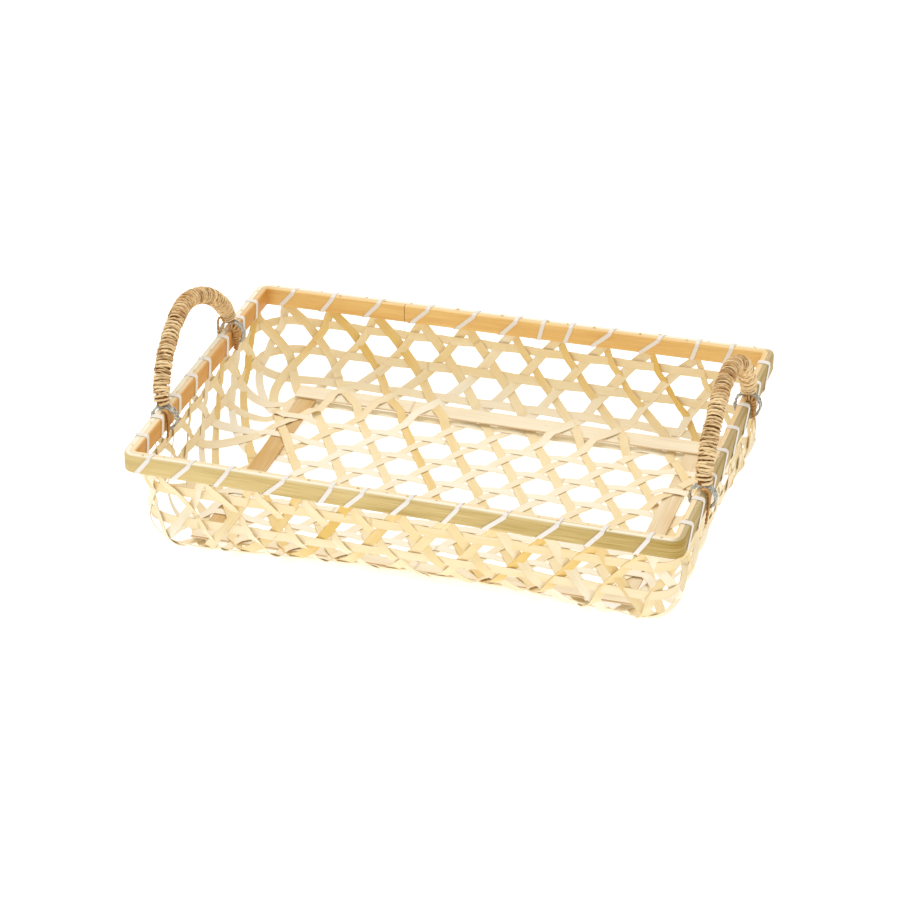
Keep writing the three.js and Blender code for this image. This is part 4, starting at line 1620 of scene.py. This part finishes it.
@dataclass
class Rim:
    """The two rim hoops and the white lashing that winds round them."""

    surface: TraySurface
    # Hoops: thickness, eased corners, half the gap at the joint, and wander of the height.
    hoop: float = 3.75
    easing: float = 0.95
    slot_easing: float = 0.12
    joint_gap: float = 0.2
    lift: float = 0.25
    lift_pace: float = 70.0
    # Lashing: widths on the long and short sides, section, gap to the hoops, and look.
    long_lashing: float = 2.8
    short_lashing: float = 4.0
    lashing_thickness: float = 0.45
    lashing_easing: float = 0.12
    lashing_stand_off: float = 0.12
    lashing_slope: float = 0.25
    lashing_steps: int = 3
    lashing_cut: float = 0.5
    lashing_tint: float = 0.25
    # Points on a corner and stretches on a side.
    corner_steps: int = 10
    side_steps: int = 60

    def outline(self, inset: float) -> tuple[Array, Array]:
        """Finds the rim's path at an inset from its outer face.

        Args:
            inset: Distance in from the outer face.

        Returns:
            The points at height 0 and their outward normals.
        """
        tray = self.surface
        radius = tray.rim_corner - inset
        half = np.array([tray.rim_length / 2.0 - inset, tray.rim_depth / 2.0 - inset])
        points, normals = [], []
        for corner in range(len(CORNERS)):
            centre, ahead = ((half - radius) * CORNERS[k % len(CORNERS)] for k in (corner, corner + 1))
            turns = (corner - 1 + np.linspace(0.0, 1.0, self.corner_steps)) * math.pi / 2.0
            ways = np.stack([np.cos(turns), np.sin(turns)], axis=1)
            points.extend(centre + radius * ways)
            normals.extend(ways)
            share = (np.arange(1, self.side_steps) / self.side_steps)[:, None]
            points.extend((centre + radius * ways[-1]) * (1.0 - share) + (ahead + radius * ways[-1]) * share)
            normals.extend(np.repeat(ways[-1:], self.side_steps - 1, axis=0))
        flat = np.zeros((len(points), 1))
        return np.hstack([np.array(points), flat]), np.hstack([np.array(normals), flat])

    def hoop_section(self, outer: bool) -> Array:
        """Makes the section of a hoop, round on its shown face and crisp at the slot.

        Args:
            outer: Whether it is the outer hoop.

        Returns:
            The points of the section.
        """
        size = np.array([self.hoop, self.surface.rim_height]) / 2.0
        easing = np.array([[[self.easing]], [[self.slot_easing]]])
        shown, slot = size - easing * EASED_CORNER
        section = np.concatenate([shown, slot[::-1] * [-1, 1], slot * [-1, -1], shown[::-1] * [1, -1]])
        section[:, 0] *= 1.0 if outer else -1.0
        return section

    def build_hoop(self, dress: HoopDress) -> None:
        """Builds one hoop, whose two ends meet in a thin joint.

        Args:
            dress: How the hoop is dressed.
        """
        tray = self.surface
        inset = 0.0 if dress.outer else tray.rim_width - self.hoop
        points, normals = self.outline(inset + self.hoop / 2.0)
        start = int(np.argmin(np.linalg.norm(points[:, :2] - dress.joint, axis=1)))
        points, normals = np.roll(points, -start, axis=0), np.roll(normals, -start, axis=0)
        apart = self.joint_gap * unit(points[1] - points[0])
        points = np.concatenate([points[:1] + apart, points[1:], points[:1] - apart])
        normals = np.concatenate([normals, normals[:1]])
        along = run_length(points)
        place = points[:, dress.dull_axis:dress.dull_axis + 1]
        # On the outer hoop this dulling, with the deep shade past x 170, is painted shade of its right side.
        dulled = dress.dull_share * smooth((place - dress.dull_from) / dress.dull_over)
        marks = np.concatenate([SKIN_MARKS, np.ones(2 * len(SKIN_MARKS)), SKIN_MARKS[::-1]])
        lift = self.lift * wander(along, self.lift_pace, dress.seed) * np.sin(math.pi * along / along[-1])
        points = points + UP * (tray.rim_top - tray.rim_height / 2.0) + UP * lift[:, None]
        rings = tray.warped(place_section(points, normals, UP[None, :], self.hoop_section(dress.outer)))
        piece = Piece(dress.name, Body.TRAY, dress.finish)
        tints = np.interp(points[:, 0], dress.places, dress.tints)
        piece.wrap(rings, along, marks * (1.0 - dulled), tints)
        piece.finish()

    def lashing_path(self, run: LashingRun) -> tuple[Array, Array]:
        """Finds the bends of the lashing on one side of the rim.

        Args:
            run: Where the lashing goes.

        Returns:
            The points, and the directions that they face.
        """
        tray = self.surface
        out = np.array(run.outward)
        ahead = np.cross(UP, out)
        half, rise = tray.rim_width / 2.0, tray.rim_height / 2.0
        reaches = np.array([tray.rim_length / 2.0 - half, tray.rim_depth / 2.0 - half, 0.0])
        centre = out * reaches + UP * (tray.rim_top - rise)
        gap = self.lashing_stand_off + self.lashing_thickness / 2.0
        last = run.downs[-1] + self.lashing_slope * (run.downs[-1] - run.bottoms[-1])
        points, facing = [], []
        for turn in zip(run.bottoms, run.tops, run.downs, (*run.bottoms[1:], last)):
            for side, end, side_in, end_in, face_out, face_up, share in LASHING_STOPS:
                place = np.interp(share, TURN_SHARES, turn)
                normal = out * face_out + UP * face_up
                normal = normal / np.linalg.norm(normal)
                reach = side * (half - side_in * self.easing)
                level = end * (rise - end_in * self.easing)
                points.append(centre + ahead * place + out * reach + UP * level + normal * gap)
                facing.append(normal)
        return np.array(points[:-UNDER_STOPS]), np.array(facing[:-UNDER_STOPS])

    def lash_side(self, run: LashingRun) -> None:
        """Winds the white strip round one side of the rim.

        Args:
            run: Where the lashing goes.
        """
        bends, facing = self.lashing_path(run)
        base = np.arange(len(bends))
        fine = np.linspace(0.0, len(bends) - 1.0, self.lashing_steps * len(bends))
        points = sampled(fine, base, bends)
        sideways, upward = side_frames(points, unit(sampled(fine, base, facing)))
        width = self.long_lashing if run.outward[1] else self.short_lashing
        section, marks = flat_section(width, self.lashing_thickness, self.lashing_easing)
        rings = self.surface.warped(place_section(points, sideways, upward, section))
        piece = Piece(f"rim_lashing_{run.side}", Body.TRAY, Finish.LASHING)
        piece.wrap(rings, run_length(points), self.lashing_cut * marks, self.lashing_tint)
        piece.finish()

    def build(self) -> None:
        """Builds both hoops and the lashing of each side."""
        for dress in HOOPS:
            self.build_hoop(dress)
        for run in LASHING_RUNS:
            self.lash_side(run)


@dataclass(frozen=True)
class Unevenness:
    """A wander that is laid over the even turns of a winding.

    Attributes:
        size: Greatest size of the wander.
        pace: Turns between two turning points.
        seed: Number that is added to the winding's seed.
    """

    size: float
    pace: float
    seed: int

    def at(self, turn: Array, seed: int) -> Array:
        """Gives the wander at each turn for a winding's seed."""
        return self.size * wander(turn, self.pace, seed + self.seed)


TURN_DRIFT = Unevenness(0.1, 0.7, 0)
TURN_JITTER = Unevenness(0.2, 0.22, 4)
WINDING_SWELL = Unevenness(0.16, 1.3, 1)
WINDING_LUMPS = Unevenness(0.2, 0.27, 5)
STRAND_SWELL = Unevenness(0.2, 0.9, 2)
STRAND_SHADES = Unevenness(0.3, 0.6, 3)


@dataclass
class Handle:
    """An arched handle wound with twine and tied over a short rim with twisted wire."""

    surface: TraySurface
    side: float
    body: Body
    top_z: float
    lean: float
    seed: int
    # Arch between the feet, whose power is 1 for half an ellipse, and the rod in it.
    half_span: float = 62.6
    foot_z: float = 72.6
    power: float = 1.22
    arch_steps: int = 2000
    path_steps: int = 1200
    core: float = 3.4
    core_steps: int = 80
    core_sides: int = 16
    # Winding: radius of the twine, its turns, the turns that bunch together, and its shade, with painted
    # shade towards the top of the arch.
    strand: float = 1.1
    strand_share: float = 0.98
    sink: float = 0.1
    turn_pitch: float = 2.5
    turn_steps: int = 22
    bunch: float = 2.7
    bunching: float = 0.07
    foot_shade: float = 0.93
    top_shade: float = 0.55
    # Loose hairs that stand off the twine, with their roots at a distance in strands.
    hairs: int = 150
    hair_radius: float = 0.09
    hair_lengths: tuple[float, float] = (1.2, 3.6)
    hair_root: float = 1.3
    hair_margin: int = 20
    hair_rise: float = 0.55
    hair_sway: float = 0.8
    hair_droop: float = 0.35
    hair_tint: float = 0.95
    # Split fibres that lie slanted over the turns and dip in at their ends.
    fibres: int = 240
    fibre_radii: tuple[float, float] = (0.22, 0.42)
    fibre_turns: tuple[float, float] = (0.25, 0.55)
    fibre_slant: float = 4.0
    fibre_margins: tuple[float, float] = (6.0, 10.0)
    fibre_out: float = 1.95
    fibre_dip: float = 1.2
    fibre_marks: tuple[float, ...] = (0.0, 0.0, 0.7)
    fibre_tints: tuple[float, float] = (0.3, 1.2)
    # Wire ties: their loops, and the two wires that are twisted into each.
    tie_radius: float = 8.25
    tie_growth: float = 0.12
    tie_pitch: float = 2.1
    tie_steps: int = 90
    tie_overlap: float = 0.04
    wire: float = 0.42
    wire_sides: int = 8
    wire_twists: float = 6.0

    @property
    def axis_x(self) -> float:
        """The place of the middle of the short rim."""
        return self.side * (self.surface.rim_length - self.surface.rim_width) / 2.0

    @property
    def axis_z(self) -> float:
        """The height of the middle of the rim."""
        return self.surface.rim_top - self.surface.rim_height / 2.0

    def arch(self, steps: int) -> tuple[Array, Array]:
        """Finds the middle line of the handle at even spacing.

        Args:
            steps: Number of points.

        Returns:
            The points, and the outward normals in the plane of the arch.
        """
        angle = np.linspace(0.0, math.pi, self.arch_steps)
        rise = self.top_z - self.core - 2.0 * self.strand - self.foot_z
        reach = -np.cos(angle)
        y = self.half_span * np.sign(reach) * np.abs(reach) ** self.power
        z = self.foot_z + rise * np.abs(np.sin(angle)) ** self.power
        path = np.stack([np.full_like(y, self.axis_x), y, z], axis=1)
        along = run_length(path)
        even = np.linspace(0.0, along[-1], steps)
        points = sampled(even, along, path)
        runs = unit(np.gradient(points, axis=0))
        return points, np.stack([np.zeros(steps), -runs[:, 2], runs[:, 1]], axis=1)

    @property
    def leaning(self) -> Matrix:
        """The turn of the handle about the middle line of the short rim."""
        middle = Matrix.Translation(Vector((self.axis_x, 0.0, self.axis_z)) * MM)
        return middle @ Matrix.Rotation(math.radians(self.lean), 4, "Y") @ middle.inverted()

    def build_core(self) -> None:
        """Builds the rod inside the winding."""
        piece = Piece(f"{self.body.value}_core", self.body, Finish.CORE)
        piece.thread(*self.arch(self.core_steps), self.core, self.core_sides, 0.5)
        piece.finish(lean=self.leaning)

    def build_winding(self) -> None:
        """Builds the twine, one strand of two twisted plies, wound round the rod from foot to foot."""
        seed = self.seed
        points, normals = self.arch(self.path_steps)
        length = run_length(points)[-1]
        turns = int(length / self.turn_pitch)
        turn = np.arange(turns * self.turn_steps + 1) / self.turn_steps
        fade = np.minimum(np.minimum(turn, turns - turn) / 2.0, 1.0)
        bunched = self.bunching * np.sin(2.0 * math.pi * turn / self.bunch) + TURN_DRIFT.at(turn, seed)
        moved = self.turn_pitch * (bunched + TURN_JITTER.at(turn, seed)) * fade
        place = self.strand + (length - 2.0 * self.strand) * turn / turns + moved
        swell = WINDING_SWELL.at(turn, seed) + WINDING_LUMPS.at(turn, seed)
        strand, radial = wound(points, normals, place, turn, self.core + self.strand - self.sink + swell)
        radius = self.strand * (self.strand_share + STRAND_SWELL.at(turn, seed))
        rings, marks = twisted_rings(strand, radial, radius)
        # Painted shade: the twine grows darker towards the top of the arch, where its grooves crowd together
        # in view.
        painted_top_darkening = self.top_shade * np.sin(math.pi * turn / turns) ** 6
        piece = Piece(f"{self.body.value}_winding", self.body, Finish.TWINE)
        draw = random.Random(seed)
        self.add_hairs(piece, draw, points, normals)
        self.add_fibres(piece, draw, points, normals)
        shade = self.foot_shade - painted_top_darkening + STRAND_SHADES.at(turn, seed)
        piece.wrap(rings, run_length(strand), marks, shade)
        piece.finish(TWINE_CREASE, self.leaning)

    def add_hairs(self, piece: Piece, draw: random.Random, points: Array, normals: Array) -> None:
        """Adds loose fibres that stand off the twine.

        Args:
            piece: Piece that takes them.
            draw: Source of the random draws.
            points: Points of the handle's middle line.
            normals: Outward normals there.
        """
        share = np.linspace(0.0, 1.0, 4)[:, None]
        for _ in range(self.hairs):
            index = draw.randrange(self.hair_margin, len(points) - self.hair_margin)
            angle = draw.uniform(0.0, 2.0 * math.pi)
            radial = normals[index] * math.cos(angle) + np.array([math.sin(angle), 0.0, 0.0])
            ahead = np.array([draw.uniform(-1.0, 1.0) for _ in range(3)])
            length = draw.uniform(*self.hair_lengths)
            root = points[index] + radial * (self.core + self.hair_root * self.strand)
            away = (radial * self.hair_rise + ahead * self.hair_sway) * length * share
            curve = root + away - radial * length * self.hair_droop * share ** 2
            piece.thread(curve, radial + 0.01, self.hair_radius, 3, self.hair_tint)

    def add_fibres(self, piece: Piece, draw: random.Random, points: Array, normals: Array) -> None:
        """Adds split fibres that lie slanted over the turns of the twine.

        Args:
            piece: Piece that takes them.
            draw: Source of the random draws.
            points: Points of the handle's middle line.
            normals: Outward normals there.
        """
        length = run_length(points)[-1]
        share = np.linspace(0.0, 1.0, 12)
        dip = self.fibre_dip * np.abs(2.0 * share - 1.0) ** 4
        out = self.core + self.fibre_out * self.strand - dip
        first, last = self.fibre_margins
        for _ in range(self.fibres):
            turn = draw.random() + draw.uniform(*self.fibre_turns) * share
            start = draw.uniform(first, length - last)
            place = start + draw.uniform(-self.fibre_slant, self.fibre_slant) * share
            radius = draw.uniform(*self.fibre_radii)
            mark = draw.choice(self.fibre_marks)
            tint = draw.uniform(*self.fibre_tints)
            strand, radial = wound(points, normals, place, turn, out)
            piece.thread(strand, radial, radius, 5, tint, mark)

    def build_tie(self, end: str, way: float, seed: int) -> None:
        """Builds the wire that ties a foot to the rim: three turns of two twisted wires.

        Args:
            end: Name of the end, front or back.
            way: -1 for the front foot and 1 for the back foot.
            seed: Seed of the small irregularities.
        """
        draw = random.Random(seed)
        piece = Piece(f"{self.body.value}_tie_{end}", self.body, Finish.WIRE)
        ends = (-self.tie_overlap, 2.0 * math.pi + self.tie_overlap)
        angle = np.linspace(*ends, self.tie_steps) + math.pi / 2.0
        spokes = np.stack([np.cos(angle), np.zeros_like(angle), np.sin(angle)], axis=1)
        for loop in (-1.0, 0.0, 1.0):
            lean = draw.uniform(-1.0, 1.0)
            middle = self.tie_radius + self.tie_growth * abs(loop)
            along = way * (self.half_span + self.tie_pitch * loop)
            for ply in range(2):
                twist = angle * self.wire_twists + ply * math.pi
                radius = middle + self.wire * np.cos(twist)
                x = self.axis_x + radius * np.cos(angle)
                y = along + self.wire * np.sin(twist) + lean * np.sin(angle)
                z = self.axis_z + radius * np.sin(angle)
                piece.thread(np.stack([x, y, z], axis=1), spokes, self.wire, self.wire_sides, 0.5)
        piece.finish(lean=self.leaning)

    def build(self) -> None:
        """Builds the handle and its ties."""
        self.build_core()
        self.build_winding()
        self.build_tie("front", -1.0, self.seed + 1)
        self.build_tie("back", 1.0, self.seed + 2)


@dataclass
class TwineEnd:
    """A loose end of the twine, left beside a foot of a handle.

    Attributes:
        name: Name of the piece.
        bends: Corners of its run, which are rounded off.
        outer_side: Direction of the side that is seen.
        strand: Radius of the twine.
        taper: Share of the radius that is lost at the tip.
        winding: Whether a strand is wound round it.
        turn_pitch: Length between two turns of that strand.
        turn_steps: Sections in a turn.
        wound_strand: Radius of that strand.
        sink: Distance that it sinks into the twine.
        lay: Length of a full twist, in radii.
        tint: Shade of the twine.
        frays: Number of fibres that fray from the tip.
        fray_lengths: Their least and greatest length.
        fray_sway: Greatest sway of one to a side.
        fray_spread: Shift of one to its side, in sways.
        fray_root: Share of its length that it starts inside the twine.
        fray_radius: Their radius.
        fray_tint: Their shade.
    """

    name: str
    bends: tuple[Place, ...]
    outer_side: Place
    strand: float
    taper: float = 0.4
    winding: bool = False
    turn_pitch: float = 1.7
    turn_steps: int = 14
    wound_strand: float = 0.9
    sink: float = 0.6
    lay: float = 2.6
    tint: float = 0.2
    frays: int = 9
    fray_lengths: tuple[float, float] = (1.5, 3.0)
    fray_sway: float = 0.4
    fray_spread: float = 0.3
    fray_root: float = 0.3
    fray_radius: float = 0.12
    fray_tint: float = 0.4

    def build(self) -> None:
        """Builds the twine end, with a few fibres that fray from its tip."""
        draw = random.Random(len(self.name))
        points = rounded(np.array(self.bends))
        along = run_length(points)
        facing = np.array(self.outer_side)
        radius = self.strand * (1.0 - self.taper * smooth(along / along[-1]))
        strand, outer = points, facing
        if self.winding:
            turn = np.arange(int(along[-1] / self.turn_pitch) * self.turn_steps + 1) / self.turn_steps
            place = along[-1] * turn / turn[-1]
            strand, outer = wound(points, facing, place, turn, np.interp(place, along, radius) - self.sink)
            radius = np.full(len(strand), self.wound_strand)
        rings, marks = twisted_rings(strand, outer, radius, self.lay * self.strand)
        piece = Piece(self.name, Body.TRAY, Finish.TWINE, dresses=False)
        piece.wrap(rings, run_length(strand), marks, self.tint)
        ahead = unit(points[-1] - points[-4])
        share = np.linspace(-self.fray_root, 1.0, 5)[:, None]
        for _ in range(self.frays):
            sway = np.array([draw.uniform(-self.fray_sway, self.fray_sway) for _ in range(3)])
            length = draw.uniform(*self.fray_lengths)
            curve = points[-1] + (ahead + sway * share) * share * length + self.fray_spread * sway
            piece.thread(curve, facing, self.fray_radius, 4, self.fray_tint)
        piece.finish(TWINE_CREASE)


TWINE_ENDS = (
    # The front left end is a loose end where a dark brown patch hangs below the rim; its dark tone is partly
    # painted shade of the rim's inner face between lashing and wire.
    TwineEnd("twine_end_left_front", ((-175.0, -69.6, 72.2), (-171.4, -70.2, 72.0), (-170.6, -70.6, 66.0),
                                      (-170.8, -71.2, 60.0), (-171.4, -71.2, 54.0)), (1.0, -0.3, 0.2), 1.3),
    TwineEnd("twine_end_left_back", ((-174.6, 54.0, 73.0), (-170.6, 54.0, 72.6), (-169.9, 53.8, 66.0),
                                     (-170.0, 53.6, 60.0), (-170.6, 53.4, 56.4)),
             (1.0, -0.3, 0.2), 2.2, winding=True),
    TwineEnd("twine_loop_left_back", ((-181.0, 50.5, 65.0), (-181.8, 50.5, 74.0), (-180.6, 50.2, 80.5),
                                      (-177.0, 49.6, 80.0), (-176.8, 49.4, 73.5), (-179.6, 49.2, 71.4)),
             (0.1, -1.0, 0.1), 0.8, 0.2),
    TwineEnd("twine_end_right_front", ((177.0, -69.0, 72.2), (181.4, -69.4, 72.0), (181.9, -70.0, 66.0),
                                       (181.7, -71.2, 58.0), (181.0, -72.6, 50.5)), (1.0, -0.3, 0.2), 1.3),
    TwineEnd("twine_end_right_back", ((176.6, 54.6, 73.0), (181.4, 54.6, 72.4), (182.0, 54.4, 66.0),
                                      (181.8, 54.2, 58.5)), (1.0, -0.3, 0.2), 1.9, winding=True),
)


@dataclass(frozen=True)
class SoftLight:
    """A square soft light that faces the basket.

    Attributes:
        name: Name of the light.
        place: Place in metres.
        size: Length of its sides in metres.
        power: Power in watts.
    """

    name: str
    place: Place
    size: float
    power: float

    def hang(self) -> None:
        """Hangs the light and turns it to the basket."""
        light = bpy.data.lights.new(self.name, "AREA")
        light.size = self.size
        light.energy = self.power
        lamp = bpy.data.objects.new(self.name, light)
        lamp.location = self.place
        lamp.rotation_mode = "QUATERNION"
        lamp.rotation_quaternion = (-Vector(self.place)).to_track_quat("-Z", "Y")
        bpy.context.scene.collection.objects.link(lamp)


SOFT_LIGHTS = (
    SoftLight("top_light", (-0.25, 0.3, 1.6), 1.3, 11.6),
    SoftLight("front_light", (0.2, -1.7, 0.9), 1.4, 3.9),
)
WHITE = (1.0, 1.0, 1.0, 1.0)


@dataclass
class Studio:
    """The pale table, the soft light and the camera at the photograph's angle, in degrees and metres."""

    azimuth: float = 16.93
    elevation: float = 28.81
    lens: float = 142.04
    sensor: float = 36.0
    sight: float = 50.0
    camera_at: Place = (0.5798, -1.9209, 1.1385)
    room_light: float = 0.75
    table_half: float = 6.0
    table_drop: float = 0.0004
    table_colour: tuple[float, ...] = (0.9, 0.9, 0.9, 1.0)
    table_roughness: float = 0.9
    table_specular: float = 0.1
    table_glow: float = 0.46

    def build_floor(self) -> None:
        """Lays a plain white table that glows softly, as a light table does."""
        shape = bmesh.new()
        bmesh.ops.create_grid(shape, x_segments=1, y_segments=1, size=self.table_half)
        mesh = bpy.data.meshes.new("table")
        shape.to_mesh(mesh)
        shape.free()
        tree = NodeTree("table_white")
        tree.surface(self.table_colour, self.table_roughness, self.table_specular)
        tree.shader.inputs["Emission Color"].default_value = WHITE
        tree.shader.inputs["Emission Strength"].default_value = self.table_glow
        mesh.materials.append(tree.material)
        table = bpy.data.objects.new("table", mesh)
        table.location.z = -self.table_drop
        bpy.context.scene.collection.objects.link(table)

    def light_room(self) -> None:
        """Fills the room with even light and hangs the soft lights."""
        scene = bpy.context.scene
        world = bpy.data.worlds.new("soft_room")
        world.use_nodes = True
        back = next(n for n in world.node_tree.nodes if n.type == "BACKGROUND")
        back.inputs["Color"].default_value = WHITE
        back.inputs["Strength"].default_value = self.room_light
        scene.world = world
        scene.view_settings.view_transform = "Standard"
        for light in SOFT_LIGHTS:
            light.hang()

    def place_camera(self) -> None:
        """Sets up the camera at the photograph's angle."""
        data = bpy.data.cameras.new("camera")
        data.lens = self.lens
        data.sensor_width = self.sensor
        data.clip_end = self.sight
        camera = bpy.data.objects.new("camera", data)
        camera.location = self.camera_at
        turn, tilt = math.radians(self.azimuth), math.radians(self.elevation)
        away = Vector((math.sin(turn) * math.cos(tilt), -math.cos(turn) * math.cos(tilt), math.sin(tilt)))
        camera.rotation_mode = "QUATERNION"
        camera.rotation_quaternion = (-away).to_track_quat("-Z", "Y")
        bpy.context.scene.collection.objects.link(camera)
        bpy.context.scene.camera = camera

    def build(self) -> None:
        """Builds the whole studio."""
        self.build_floor()
        self.light_room()
        self.place_camera()


def main() -> None:
    """Builds the studio and every piece of the basket in order."""
    logging.basicConfig(level=logging.INFO, format="%(message)s")
    surface = TraySurface()
    Studio().build()
    Weave(surface).build()
    Rim(surface).build()
    Handle(surface, -1.0, Body.LEFT, top_z=120.0, lean=-9.5, seed=40).build()
    Handle(surface, 1.0, Body.RIGHT, top_z=124.0, lean=0.0, seed=50).build()
    for end in TWINE_ENDS:
        end.build()


if __name__ == "__main__":
    main()
